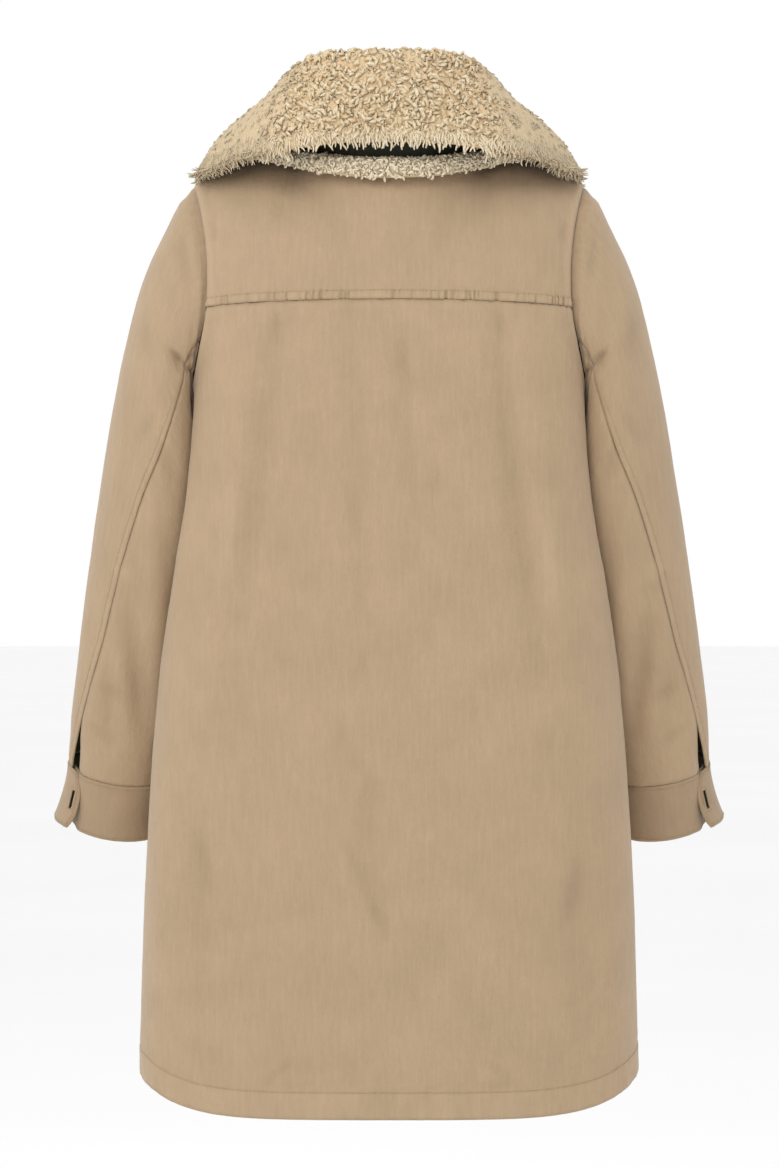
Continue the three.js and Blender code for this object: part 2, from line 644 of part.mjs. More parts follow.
// A part of the sleeve between two seams, given with their half gaps as shares of a turn for each s.
// sink is how far its first edge goes in under its neighbour at the slit.
function sleevePanel(from, to, fromGap, toGap, columns, sink) {
  const rows = Array.from({ length: SLEEVE_ROWS + 1 }, (_, i) => {
    const s = i / SLEEVE_ROWS;
    return Array.from({ length: columns + 1 }, (__, j) => {
      const turn = lerp(from(s) + fromGap(s), to(s) - toGap(s), j / columns);
      const p = sleevePoint(turn, s, { 0: from(s), [columns]: to(s) }[j]);
      p.at.addScaledVector(p.out, -sink * slitOpen(s) * ease(1 - (turn - from(s)) / 0.06));
      if (i === 0) p.at.x += ARMHOLE_GAP;
      return p;
    });
  });
  return wall(rows, CLOTH);
}

// Half the gap between the two sleeve panels at the back seam, which widens into the slit.
function backSeamGap(s) {
  const around = Math.PI * (sectionFrame(s).half + sleeveAt.deep(s));
  return (SEAM_GAP / 2 + SLIT.halfWidth * slitOpen(s)) / around;
}

const frontSeamGap = (s) => SEAM_GAP / 2 / (Math.PI * (sectionFrame(s).half + sleeveAt.deep(s)));

const backSeam = (s) => sleeveAt.seam(s);
const frontSeam = (s) => sleeveAt.seamF(s);
const upperSleeve = () =>
  sleevePanel(frontSeam, (s) => 1 + backSeam(s), frontSeamGap, backSeamGap, UPPER_COLUMNS, 0);
const underSleeve = () =>
  sleevePanel(backSeam, frontSeam, backSeamGap, frontSeamGap, UNDER_COLUMNS, SLIT.sink);

// The cuff: an open band below the sleeve whose buttonhole end stands away on the outer side.
const CUFF_AXIS = (() => {
  const { outward } = sectionFrame(1);
  const across = vec(0, SLEEVE[SLEEVE.length - 1].deep, -SLEEVE[SLEEVE.length - 1].drop);
  return outward.clone().cross(across).normalize().negate();
})();

function cuffSurface(turn, v) {
  const top = sleeveSurface(turn, 1);
  const { middle } = sectionFrame(1);
  const down = CUFF_AXIS.z < 0 ? CUFF_AXIS : CUFF_AXIS.clone().negate();
  const radial = top.clone().sub(middle).normalize();
  const open = ease((turn - CUFF_FLARE.from) / (CUFF_FLARE.to - CUFF_FLARE.from));
  const flare = CUFF_FLARE.out * open * Math.pow(Math.max(0, v), CUFF_FLARE.swell);
  const sink = CUFF.sink * ease((0.13 - turn) / 0.06);
  const lift =
    CUFF_FLARE.lift * ease((turn - CUFF_FLARE.liftFrom) / (CUFF_FLARE.liftTo - CUFF_FLARE.liftFrom));
  return top
    .addScaledVector(down, SEAM_GAP + 0.2 + CUFF.height * v * (1 - lift))
    .addScaledVector(radial, 0.6 - CUFF.inset * v + flare - sink);
}

function cuffPoint(turn, v) {
  const p = cuffSurface(turn, v);
  const n = normalOf(cuffSurface, turn, v, 1e-3, 1e-2, -1);
  return { at: p, out: n };
}

const CUFF_COLUMNS = 24;
const CUFF_ROWS = 4;
const cuffEnd = (v) => CUFF.end - CUFF.round * Math.pow(Math.abs(v - 0.55) / 0.55, 2.5);

function cuff() {
  const rows = Array.from({ length: CUFF_ROWS + 1 }, (_, i) =>
    Array.from({ length: CUFF_COLUMNS + 1 }, (__, j) =>
      cuffPoint(lerp(CUFF.start, cuffEnd(i / CUFF_ROWS), j / CUFF_COLUMNS), i / CUFF_ROWS),
    ),
  );
  const band = wall(rows, CUFF_CLOTH);
  const near = cuffPoint(CUFF.end, 0.5);
  const back = cuffPoint(CUFF.end - 0.01, 0.5);
  const along = near.at.clone().sub(back.at).normalize();
  const up = cuffPoint(CUFF.end, 0.2).at.sub(cuffPoint(CUFF.end, 0.8).at).normalize();
  const hole = new THREE.BoxGeometry(BUTTONHOLE.width, BUTTONHOLE.length, CUFF_CLOTH * 6);
  const across = along.clone().cross(up).normalize();
  hole.applyMatrix4(new THREE.Matrix4().makeBasis(along, up, across));
  const at = near.at.clone().addScaledVector(along, -BUTTONHOLE.fromEnd);
  hole.translate(at.x, at.y, at.z);
  return cutAway(band, hole);
}

// Booleans

function solidOf(geometry) {
  const bare = geometry.clone();
  bare.deleteAttribute("normal");
  bare.deleteAttribute("uv");
  const merged = mergeVertices(bare, 1e-3);
  return new wasm.Manifold(
    new wasm.Mesh({
      numProp: 3,
      vertProperties: new Float32Array(merged.attributes.position.array),
      triVerts: new Uint32Array(merged.index.array),
    }),
  );
}

function cutAway(geometry, tool) {
  const mesh = solidOf(geometry).subtract(solidOf(tool)).getMesh();
  const made = new THREE.BufferGeometry();
  made.setAttribute("position", new THREE.Float32BufferAttribute(mesh.vertProperties, 3));
  made.setIndex([...mesh.triVerts]);
  return made;
}

// Collar

// The neckline at a turn from the back middle, as a radius from the neck's axis and a height.
function neckline(turn) {
  const a = (turn * Math.PI) / 180;
  const front = turn > 90;
  const end = front ? NECK_FRONT : NECK_BACK;
  const toEnd = Math.abs(Math.cos(a));
  const depth = Math.abs(end.y - NECK_AXIS_Y);
  const r = 1 / Math.hypot(Math.sin(a) / NECK_SIDE.x, Math.cos(a) / depth);
  return { r, z: lerp(NECK_SIDE.z, end.z, Math.pow(toEnd, front ? 1.25 : 1)) };
}

const spot = (side, turn, r, z) => {
  const a = (turn * Math.PI) / 180;
  return vec(side * r * Math.sin(a), NECK_AXIS_Y + r * Math.cos(a), z);
};

// The closed outline of the collar at a turn: up inside the stand, over the fold, down the fall.
function collarOutline(turn) {
  const neck = neckline(turn);
  const foldR = collarAt.foldR(turn);
  const foldZ = collarAt.foldZ(turn);
  const edgeR = collarAt.edgeR(turn);
  const edgeZ = collarAt.edgeZ(turn);
  const half = collarAt.half(turn);
  const run = Math.hypot(edgeR - foldR, edgeZ - foldZ);
  const fr = (edgeR - foldR) / run;
  const fz = (edgeZ - foldZ) / run;
  const inner = 9;
  const insideR = neck.r - STAND.cloth - SEAM_GAP;
  const roll = 13;
  const outline = [];
  const add = (r, z) => outline.push([r, z]);
  add(insideR, neck.z + 3);
  add(insideR - inner * 0.8, neck.z + 1);
  add(insideR - inner, neck.z + 12);
  add(lerp(insideR - inner, foldR - roll, 0.55), lerp(neck.z, foldZ, 0.55));
  add(foldR - roll - 6, foldZ - 6);
  add(foldR - 11, foldZ + 7);
  add(foldR, foldZ + 12);
  add(foldR + 12 - fz * 2, foldZ + 9);
  for (const [t, share] of [[0.26, 0.75], [0.5, 1], [0.76, 0.8], [0.96, 0.1]]) {
    const out = half + collarAt.bulge(turn) * share;
    add(foldR + fr * run * t - fz * out, foldZ + fz * run * t + fr * out);
  }
  add(edgeR + fr * half * 0.8 - fz * half * 0.5, edgeZ + fz * half * 0.8 + fr * half * 0.5);
  add(edgeR + fr * half * 0.8 + fz * half * 0.5, edgeZ + fz * half * 0.8 - fr * half * 0.5);
  for (const [t, share] of [[0.92, 0.6], [0.62, 0.45], [0.34, 0.4]])
    add(foldR + fr * run * t + fz * half * share, foldZ + fz * run * t - fr * half * share);
  add(foldR - 1, foldZ - 12);
  add(insideR + STAND.lean - 1, foldZ - STAND.topBelowFold + 6);
  add(insideR + 0.6, lerp(neck.z, foldZ, 0.5));
  return outline;
}

const COLLAR_STATIONS = 32;

// The stations round the neck, which the collar and its stand share so that their facets match.
const collarStations = (skip) =>
  Array.from({ length: COLLAR_STATIONS + 1 - 2 * skip }, (_, i) => {
    const signed = lerp(-COLLAR_END, COLLAR_END, (i + skip) / COLLAR_STATIONS);
    return { side: signed < 0 ? 1 : -1, turn: Math.abs(signed) };
  });

const collar = () =>
  loft(
    collarStations(0).map(({ side, turn }) =>
      collarOutline(turn).map(([r, z]) => spot(side, turn, r, z)),
    ),
  );

// The plain dark band that the collar is sewn to, standing on the neckline.
function collarStand() {
  const rows = [0, 0.5, 1].map((v) =>
    collarStations(1).map(({ side, turn }) => {
      const neck = neckline(turn);
      const top = collarAt.foldZ(turn) - STAND.topBelowFold;
      const at = spot(side, turn, neck.r + STAND.lean * v, lerp(neck.z + 3, top, v));
      return { at, out: spot(side, turn, 1, 0).sub(spot(side, turn, 0, 0)) };
    }),
  );
  return wall(rows, STAND.cloth);
}

// The height of the yoke's outer face above a point of the plan.
function yokeHeight(x, y) {
  const tAt = (u) => {
    let [low, high] = [0, 1];
    for (let i = 0; i < 22; i += 1) {
      const mid = (low + high) / 2;
      if (upperBack(u, mid).y > y) low = mid;
      else high = mid;
    }
    return low;
  };
  let [left, right] = [-1, 1];
  for (let i = 0; i < 22; i += 1) {
    const mid = (left + right) / 2;
    if (upperBack(mid, tAt(mid)).x > x) left = mid;
    else right = mid;
  }
  return upperBack(left, tAt(left)).z;
}

// The narrow shearling edge that stands round the back of the neck and runs out over the shoulders.
function neckRoll() {
  const at = columnsOf(ROLL, "turn", ["out", "wide", "tall"]);
  const end = ROLL[ROLL.length - 1].turn;
  const stations = 28;
  const sides = 10;
  const middles = Array.from({ length: stations + 1 }, (_, i) => {
    const signed = lerp(-end, end, i / stations);
    const turn = Math.abs(signed);
    return { turn, at: spot(signed < 0 ? 1 : -1, turn, neckline(turn).r + at.out(turn), 0) };
  });
  const rings = middles.map((middle, i) => {
    const before = middles[Math.max(0, i - 1)].at;
    const after = middles[Math.min(stations, i + 1)].at;
    const across = after.clone().sub(before).cross(vec(0, 0, 1)).normalize();
    const wide = at.wide(middle.turn);
    const tall = at.tall(middle.turn);
    const ring = Array.from({ length: sides }, (_, j) => {
      const a = (2 * Math.PI * j) / sides;
      return middle.at.clone().addScaledVector(across, Math.cos(a) * wide).setZ(Math.sin(a) * tall);
    });
    const needs = ring.map((p) => yokeHeight(p.x, p.y) + ROLL_CLEARANCE - p.z);
    const rise = Math.max(neckline(middle.turn).z + ROLL_RISE, ...needs);
    return ring.map((p) => p.setZ(p.z + rise));
  });
  return loft(rings);
}

// Buttons

function button(size, at, out) {
  const r = size.radius;
  const h = size.thickness;
  const profile = [[0, 0], [0.9, 0], [1, 0.35], [1, 0.75], [0.92, 1], [0.7, 1], [0.62, 0.72], [0, 0.72]];
  const turned = profile.map(([x, y]) => new THREE.Vector2(x * r, y * h));
  const geometry = new THREE.LatheGeometry(turned, 12);
  geometry.deleteAttribute("normal");
  geometry.deleteAttribute("uv");
  const turn = new THREE.Quaternion().setFromUnitVectors(vec(0, 1, 0), out);
  geometry.applyQuaternion(turn);
  const seat = at.clone().addScaledVector(out, size.stand);
  geometry.translate(seat.x, seat.y, seat.z);
  return geometry;
}

// The parka

const COTTON = { color: 0xbfa588, roughness: 0.85, metalness: 0 };
const SHEARLING = { color: 0xd6c09a, roughness: 1, metalness: 0 };
const DARK_CLOTH = { color: 0x2d2f23, roughness: 0.9, metalness: 0 };
const HORN = { color: 0x5a4632, roughness: 0.35, metalness: 0 };

const parka = new THREE.Group();

function add(name, geometry, finish, mirrored = false) {
  let made = geometry;
  if (mirrored) {
    made = geometry.clone().scale(-1, 1, 1);
    const index = made.index.array;
    for (let i = 0; i < index.length; i += 3)
      [index[i + 1], index[i + 2]] = [index[i + 2], index[i + 1]];
  }
  const mesh = new THREE.Mesh(made, new THREE.MeshStandardMaterial(finish));
  mesh.name = name;
  parka.add(mesh);
}

add("back", backPanel(), COTTON);
add("back_yoke", yokePanel(), COTTON);
add("front_left", frontPanel(1), COTTON);
add("front_right", frontPanel(-1), COTTON);
for (const [side, mirrored] of [["left", false], ["right", true]]) {
  add(`sleeve_upper_${side}`, upperSleeve(), COTTON, mirrored);
  add(`sleeve_under_${side}`, underSleeve(), COTTON, mirrored);
  add(`cuff_${side}`, cuff(), COTTON, mirrored);
  const seat = cuffPoint(CUFF.start + CUFF_BUTTON.fromEnd, 0.5);
  add(`cuff_button_${side}`, button(CUFF_BUTTON, seat.at, seat.out), HORN, mirrored);
}
add("collar", collar(), SHEARLING);
add("collar_stand", collarStand(), DARK_CLOTH);
add("neck_roll", neckRoll(), SHEARLING);
for (let i = 0; i < BUTTON.count; i += 1) {
  const z = BUTTON.firstZ - BUTTON.pitch * i;
  const seat = bodyPoint(-Math.PI / 2, z, FRONT_FOLDS);
  add(`front_button_${i + 1}`, button(BUTTON, seat.at, seat.out), HORN);
}

export default parka;
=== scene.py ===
# A hollow, worn cotton parka with a large shearling collar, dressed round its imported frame.
# Sizes in the tables are millimetres unless they say metres; meshes are made in metres.
import math

import bmesh
import bpy
import numpy as np
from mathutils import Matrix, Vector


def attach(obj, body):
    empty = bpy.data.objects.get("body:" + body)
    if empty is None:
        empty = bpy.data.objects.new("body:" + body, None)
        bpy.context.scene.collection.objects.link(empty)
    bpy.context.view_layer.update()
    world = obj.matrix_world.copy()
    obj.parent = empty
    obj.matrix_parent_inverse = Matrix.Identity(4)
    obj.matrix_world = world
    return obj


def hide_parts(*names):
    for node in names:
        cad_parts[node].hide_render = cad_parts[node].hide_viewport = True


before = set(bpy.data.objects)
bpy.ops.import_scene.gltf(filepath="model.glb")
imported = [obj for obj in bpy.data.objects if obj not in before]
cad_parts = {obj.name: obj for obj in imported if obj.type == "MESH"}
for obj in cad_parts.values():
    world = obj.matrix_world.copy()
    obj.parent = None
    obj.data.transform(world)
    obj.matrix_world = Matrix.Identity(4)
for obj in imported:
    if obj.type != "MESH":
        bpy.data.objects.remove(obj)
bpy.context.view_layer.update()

bl_info = {
    "name": "Parka",
    "version": (1, 0, 0),
    "blender": (4, 5, 0),
    "location": "3D View > Sidebar > Parka",
    "description": "Sews a worn cotton parka with a shearling collar from its sizes and colours",
    "category": "Add Mesh",
}

MM = 0.001
SIDES = {"left": 1, "right": -1}

# Gaps at seams and laps, and how the sleeve's head lies in
SEAM_GAP = 0.3
LAP_GAP = 0.7
ARMHOLE_TUCK = 1.6
ARMHOLE_SINK = 2.4
SHOULDER_SLOPE = 7.2
# How much deeper the dressed folds are than the solids', and how much painted shade their troughs put on the
# cloth
FOLD_MORE = 0.55
FOLD_SHADE = 0.32

# Heights of the body
HEM_Z = -914.0
HEM_SIDE_RISE = 33.0
HEM_FRONT_RISE = 14.0
ARMPIT_Z = -238.0
YOKE_Z = -124.0
YOKE_SIDE_DIP = 5.0
ARMHOLE_MID_Z = -128.0
ARMHOLE_HALF_DEPTH = 79.0

# Shoulders and neck
SHOULDER_TIP = np.array([195.0, -12.0, -1.0])
NECK_SIDE = np.array([95.0, -12.0, 32.0])
NECK_BACK = (80.0, 4.0)
NECK_FRONT = (-92.0, -52.0)
NECK_SHARE = 0.5
NECK_AXIS_Y = -5.0

# Front closing
OVERLAP = 30.0
OVERLAP_RAMP = 26.0
CLOSING_ROW = 34.0
BUTTON = {"radius": 11.0, "thickness": 4.2, "stand": 0.3, "first": -168.0, "pitch": 138.0, "count": 5}
CUFF_BUTTON = {"radius": 7.5, "thickness": 2.6, "stand": 0.9, "from_end": 0.045, "hole_share": 0.8}

# Body rings: height, half width, depth at the back, depth at the front, squareness
BODY = np.array([
    (-930, 248.5, 150, 152, 3.0), (-870, 247.5, 149, 151, 3.0), (-790, 245.5, 148, 149, 3.0),
    (-710, 243, 146, 147, 3.0), (-615, 238.5, 144, 145, 3.1), (-545, 233.5, 142, 144, 3.2),
    (-476, 227, 140, 142, 3.3), (-406, 219, 138, 141, 3.4), (-346, 211, 136, 139, 3.5),
    (-267, 202, 133, 137, 3.6), (-197, 196, 129, 134, 3.6), (-124, 192, 121, 128, 3.6),
    (-60, 186, 112, 118, 3.4),
])

# How the arms press the sides in: height, innermost X, middle Y, half depth
PRESS = np.array([
    (-760, 300, -62, 46), (-700, 234, -62, 50), (-655, 217, -62, 52), (-620, 214, -57, 53),
    (-584, 214, -49, 54), (-545, 209, -40, 57), (-495, 199, -29, 62), (-446, 190, -18, 67),
    (-396, 182, -8, 73), (-352, 176, -1, 79), (-318, 174, 2, 84), (-280, 177, 2, 88),
    (-238, 181, 0, 90), (-190, 200, 0, 92), (-124, 260, 0, 92),
])
PRESS_CLEARANCE = 5.0
PRESS_SOFTNESS = 7.0
PRESS_BOW = 27.0

# Sleeve sections from the armhole to the cuff: outermost X and Z, innermost X and Z, middle Y,
# half depth, droop at the back, back seam and front seam as shares of a turn from the outer side
SLEEVE = np.array([
    (195, -1, 181, -238, 0, 79, 0, 0.325, 0.66), (213.5, -13, 185, -246, 0, 81, 0, 0.32, 0.66),
    (231, -55, 185, -258, 0, 82, 0, 0.312, 0.66), (248.5, -105, 182, -272, 1, 82, 0, 0.3, 0.66),
    (263, -164, 179, -292, 2, 80, 1, 0.28, 0.66), (275, -226, 177, -318, 2, 76, 3, 0.252, 0.67),
    (285.5, -290, 178, -352, -1, 71, 6, 0.213, 0.68), (296.5, -358, 184, -396, -8, 65, 10, 0.183, 0.69),
    (307, -424, 192, -446, -18, 59, 13, 0.16, 0.7), (315, -480, 201, -497, -29, 54, 15, 0.132, 0.71),
    (322, -535, 211, -551, -40, 49, 16, 0.102, 0.72), (324.5, -578, 219, -592, -49, 45, 17, 0.074, 0.72),
])
SLEEVE_LENGTH = 600.0
SLIT = {"length": 74.0, "half_width": 3.2, "sink": 5.0}
CUFF = {"height": 62.0, "inset": 3.0, "start": 0.03, "end": 1.13, "round": 0.03, "sink": 5.0}
CUFF_FLARE = {"from": 0.84, "to": 1.02, "out": 12.0, "swell": 1.8}
CUFF_LIFT = {"share": 0.07, "from": 1.01, "to": 1.12}
BUTTONHOLE = {"length": 20.0, "width": 4.4, "from_end": 9.0, "stitch_out": 3.1, "stitch_pitch": 0.8}
# Length, width and height of a buttonhole's stitch, in metres
BUTTONHOLE_STITCH = (0.0024, 0.0011, 0.0011)
# Distance of the stitch rows from a cuff's edges
CUFF_ROW = 3.0

# Widths from which the columns of each piece's mesh are counted, and the spacing of the finer ones
GRID_WIDTH = {"back": 600, "front": 320, "yoke": 1080, "upper": 300, "under": 220, "cuff": 340}
FINE_SPACING = 3.4
# Lengths of one turn on the cut of a sleeve and a cuff
SLEEVE_CUT = 420
CUFF_CUT = 330

# Folds as lines in the X-Z plane: x, z to x, z, width and depth (a ridge is positive)
BACK_FOLDS = [
    (103, -128, 152, -470, 15, -4), (128, -140, 178, -520, 18, 3), (-103, -128, -150, -500, 15, -4),
    (-128, -140, -180, -540, 18, 3), (34, -135, 22, -520, 13, -2.4), (-8, -160, -28, -330, 12, -2.2),
    (26, -560, 4, -740, 14, -2.2), (176, -600, 190, -860, 20, -2.6), (-176, -600, -190, -860, 20, -2.6),
]
FRONT_FOLDS = [
    (96, -150, 140, -560, 17, -4), (-102, -160, -150, -520, 17, -4), (128, -190, 176, -620, 18, 3),
    (-130, -180, -172, -600, 18, 3), (70, -520, 98, -850, 18, -3), (-66, -480, -104, -830, 18, -3),
]
SLEEVE_FOLDS = [
    (258, -410, 242, -560, 11, -4), (232, -330, 226, -500, 12, 3), (286, -440, 276, -560, 10, -2.6),
    (216, -172, 192, -198, 7, -3.4), (206, -50, 196, -110, 8, -3.4), (250, -190, 262, -330, 13, -2.4),
]
# Finer creases, which only the outer face shows
BACK_CREASES = [
    (-44, -271, -44, -319, 5, -1.3), (47, -521, 47, -560, 7, -1.1), (42, -646, 18, -704, 7, -1.5),
    (18, -704, 4, -733, 7, -1.5), (91, -855, 120, -881, 4.5, -1.2), (-91, -855, -120, -881, 4.5, -1.2),
    (120, -881, 84, -881, 4, -0.9), (-120, -881, -84, -881, 4, -0.9), (106, -133, 110.5, -165, 5, -1.3),
    (-106, -133, -110.5, -165, 5, -1.3), (-11, -161, -20, -214, 7, -1.2), (150, -300, 160, -420, 9, 1.2),
    (-152, -320, -160, -430, 9, 1.2), (186, -640, 176, -700, 8, -1.4), (-186, -660, -172, -730, 8, -1.4),
]
YOKE_CREASES = [
    (174, -40, 171.5, -68, 5, -1.7), (-174, -40, -171.5, -68, 5, -1.7), (60, -20, 30, -95, 14, -0.8),
    (-66, -24, -40, -98, 14, -0.8),
]
SLEEVE_CREASES = [
    (214, -170, 200, -185, 2.6, -3.2), (200, -185, 190, -197, 2.6, -3.0),
    (219, -166, 207, -172, 3.6, 1.3), (208, -192, 199, -203, 3.6, 1.2), (190, -173, 199, -184, 2.6, -2.6),
    (246, -130, 236, -176, 9, -1.4), (228, -230, 246, -262, 6, -1.2), (288, -500, 262, -516, 7, -1.3),
    (300, -540, 274, -560, 6, -1.3), (270, -380, 252, -398, 8, 1.2), (222, -262, 212, -300, 8, -1.4),
]

# Collar sections by turn from the back middle, in degrees: radius and height of the fold and of the
# fall's edge, half the fall's thickness, and how far it bulges
COLLAR = np.array([
    (0, 97, 110, 113, 36, 9, 5), (24, 98, 111, 122, 35, 9, 6), (46, 100, 108, 143, 29, 9, 7),
    (64, 102, 99, 167, 21, 9, 9), (76, 102, 91, 180, 14, 9, 10), (88, 101, 82, 187, 14, 9, 11),
    (104, 99, 68, 188, 2, 9, 11), (128, 99, 46, 186, -50, 9, 9), (150, 98, 18, 172, -92, 9, 7),
    (166, 97, -3, 163, -112, 8.5, 6), (174, 96, -10, 160, -104, 7.5, 5),
])
COLLAR_END = 174.0
STAND = {"cloth": 1.8, "lean": 2.4, "below_fold": 24.0, "share": 1 - 2 / 32}
# The narrow shearling edge: turn, distance out from the neckline, half width, half height
ROLL = np.array([(0, 12.5, 9, 11.3), (30, 12.5, 9, 11), (50, 15, 8.5, 10), (65, 32, 7, 7.5), (74, 60, 5, 5)])
ROLL_RISE = 0.5
ROLL_CLEARANCE = 0.8
# The edge's curls: how deep the ground lies, steps along it and curls on each step
ROLL_PILE = {"depth": 2.2, "step": 2.4, "round": 14}
# Length, width and height of such a curl, in metres
ROLL_CURL = (0.0066, 0.0066, 0.0062)

# Colours that worn ridges and felted wool lean towards
WORN_COTTON = (0.62, 0.48, 0.33)
FELTED_WOOL = (0.62, 0.5, 0.34)

# Points on a ring or a chest line from which others are found
RING_STEPS = 321
CHEST_STEPS = 481

# Place and size of each light in metres, and its power in watts
LIGHTS = {
    "top_light": ((0.7, 2.3, 1.9), 1.4, 25.0),
    "back_light": ((0.8, 2.2, 0.6), 1.4, 11.5),
    "low_light": ((-0.4, 2.5, -0.9), 1.2, 3.0),
    "left_light": ((2.8, 1.3, 0.3), 1.0, 5.0),
    "right_light": ((-2.8, 1.3, 0.3), 1.0, 3.0),
    "front_light": ((0.0, -2.4, 1.8), 2.0, 8.0),
}
LIGHTS_AIM = (0, 0, -0.4)
# Half the floor's width
FLOOR_HALF = 60000.0
# The camera's lens shows a plane this far off at 1 mm a pixel over the picture's height
PLANE_DISTANCE = 3600
PICTURE_HEIGHT = 1168
SENSOR = 36


# Sizes and colours that a user may change


def length(name, description, default, low, high):
    return bpy.props.FloatProperty(
        name=name, description=description, default=default, min=low, max=high, unit="LENGTH",
        subtype="DISTANCE", precision=4,
    )


def colour(name, description, default):
    return bpy.props.FloatVectorProperty(
        name=name, description=description, default=default, size=3, min=0, max=1, subtype="COLOR",
    )


def strength(name, description, default):
    return bpy.props.FloatProperty(name=name, description=description, default=default)


class ParkaCloth(bpy.types.PropertyGroup):
    """Sizes and colours of the cotton."""

    thickness: length("Cloth", "Thickness of the cotton with its lining", 0.0022, 0.001, 0.004)
    cuff_thickness: length("Cuff cloth", "Thickness of a cuff's two layers", 0.0028, 0.001, 0.004)
    spacing: length("Spacing", "Distance between the points of the cloth's mesh", 0.0046, 0.003, 0.012)
    hem: length("Hem", "Depth of the turned hem", 0.026, 0.01, 0.06)
    cotton: colour("Cotton", "Colour of the outer cloth", (0.429, 0.308, 0.193))
    lining: colour("Lining", "Colour of the inner faces", (0.045, 0.047, 0.03))


class ParkaSewing(bpy.types.PropertyGroup):
    """Sizes and colour of the stitches."""

    pitch: length("Pitch", "Distance from one stitch to the next", 0.0029, 0.0015, 0.006)
    stitch: length("Stitch", "Length of one stitch", 0.0021, 0.001, 0.005)
    thread: length("Thread", "Thickness of the thread", 0.0005, 0.0002, 0.002)
    yoke_row: length("Yoke row", "Height of the stitch row above the yoke seam", 0.0086, 0.002, 0.02)
    sleeve_row: length("Sleeve row", "Distance of the stitch row from the sleeve seam", 0.0064, 0.002, 0.02)
    colour: colour("Thread colour", "Colour of the thread", (0.46, 0.335, 0.21))


class ParkaShearling(bpy.types.PropertyGroup):
    """Sizes and colours of the shearling."""

    spacing: length("Curl spacing", "Distance between the curls on the fall", 0.00455, 0.003, 0.02)
    curl: length("Curl", "Length of a curl", 0.0092, 0.004, 0.03)
    lock: length("Lock", "Length of a lock at the fall's edge", 0.0122, 0.004, 0.03)
    pile: length("Pile", "Depth of the pile over its skin", 0.0045, 0.001, 0.01)
    cream: colour("Cream", "Colour of the tips", (0.84, 0.74, 0.56))
    honey: colour("Honey", "Colour between tip and root", (0.77, 0.635, 0.425))
    # The root colour is partly the wool's own darker base and partly painted shade deep in the pile
    root: colour("Root", "Colour deep in the pile", (0.64, 0.475, 0.285))


class ParkaButtons(bpy.types.PropertyGroup):
    """Sizes and colour of the buttons."""

    hole: length("Hole", "Radius of a button's hole", 0.0011, 0.0004, 0.002)
    horn: colour("Horn", "Colour of the buttons", (0.16, 0.09, 0.045))


class ParkaStage(bpy.types.PropertyGroup):
    """The floor, the lights and the camera."""

    floor_drop: length("Floor", "How far the floor lies below the neck seam", 1.5, 1.0, 3.0)
    camera_distance: length("Camera distance", "Distance of the camera behind the coat", 3.6, 1.0, 10.0)
    camera_height: length("Camera height", "Height of the camera", -0.4, -2.0, 2.0)
    surround: strength("Surround", "Strength of the light beyond the front", 1.15)
    shade: strength("Shade", "Strength of the light behind the back", 0.3)
    pale: colour("Floor colour", "Colour of the floor", (0.92, 0.92, 0.92))


# Plain helpers on arrays


def ease(t):
    c = np.clip(t, 0, 1)
    return c * c * (3 - 2 * c)


def through(xs, ys):
    """A smooth curve through points, without overshoot."""
    xs, ys = np.asarray(xs, float), np.asarray(ys, float)
    order = np.argsort(xs)
    xs, ys = xs[order], ys[order]
    rise = np.diff(ys) / np.diff(xs)
    before, after = rise[:-1], rise[1:]
    total = np.where(before + after == 0, 1, before + after)
    slope = np.concatenate([
        rise[:1], np.where(before * after <= 0, 0, 2 * before * after / total), rise[-1:],
    ])

    def curve(x):
        c = np.clip(x, xs[0], xs[-1])
        i = np.clip(np.searchsorted(xs, c, side="left") - 1, 0, len(xs) - 2)
        h = xs[i + 1] - xs[i]
        t = (c - xs[i]) / h
        u = 1 - t
        return (
            ys[i] * (1 + 2 * t) * u * u + slope[i] * h * t * u * u
            + ys[i + 1] * t * t * (3 - 2 * t) - slope[i + 1] * h * t * t * u
        )

    return curve


def columns(table):
    return [through(table[:, 0], table[:, i]) for i in range(1, table.shape[1])]


body_side, body_back, body_front, body_square = columns(BODY)
press_x, press_y, press_deep = columns(PRESS)
fold_r, fold_z, edge_r, edge_z, fall_half, fall_bulge = columns(COLLAR)
roll_out, roll_wide, roll_tall = columns(ROLL)
SLEEVE_SHARES = np.linspace(0, 1, len(SLEEVE))
(out_x, out_z, in_x, in_z, mid_y, deep_at, drop_at, back_seam, front_seam) = [
    through(SLEEVE_SHARES, SLEEVE[:, i]) for i in range(SLEEVE.shape[1])
]


def stack(x, y, z):
    return np.stack(np.broadcast_arrays(x, y, z), -1)


def unit(v):
    return v / np.maximum(np.linalg.norm(v, axis=-1, keepdims=True), 1e-12)


def facing(surface, u, v, du=1e-3, dv=1e-3, way=1):
    """Outward directions of a surface given as a function of two numbers, from small steps in both."""
    a = surface(u + du, v) - surface(u - du, v)
    b = surface(u, v + dv) - surface(u, v - dv)
    return unit(np.cross(a, b)) * way


def inside(u, t):
    """Places a little inside the ends of an upper body's surface, where its directions hold."""
    return np.clip(u, -0.998, 0.998), np.clip(t, 0.002, 0.998)


def fold_push(folds, at):
    """The push of a set of folds at points, outwards."""
    x, z = at[..., 0], at[..., 2]
    push = np.zeros(x.shape)
    for x0, z0, x1, z1, width, depth in folds:
        dx, dz = x1 - x0, z1 - z0
        c = np.clip(((x - x0) * dx + (z - z0) * dz) / (dx * dx + dz * dz), 0, 1)
        away = np.hypot(x - x0 - c * dx, z - z0 - c * dz) / width
        push = push + depth * (0.35 + 0.65 * np.sin(np.pi * c)) * np.exp(-away * away)
    return push


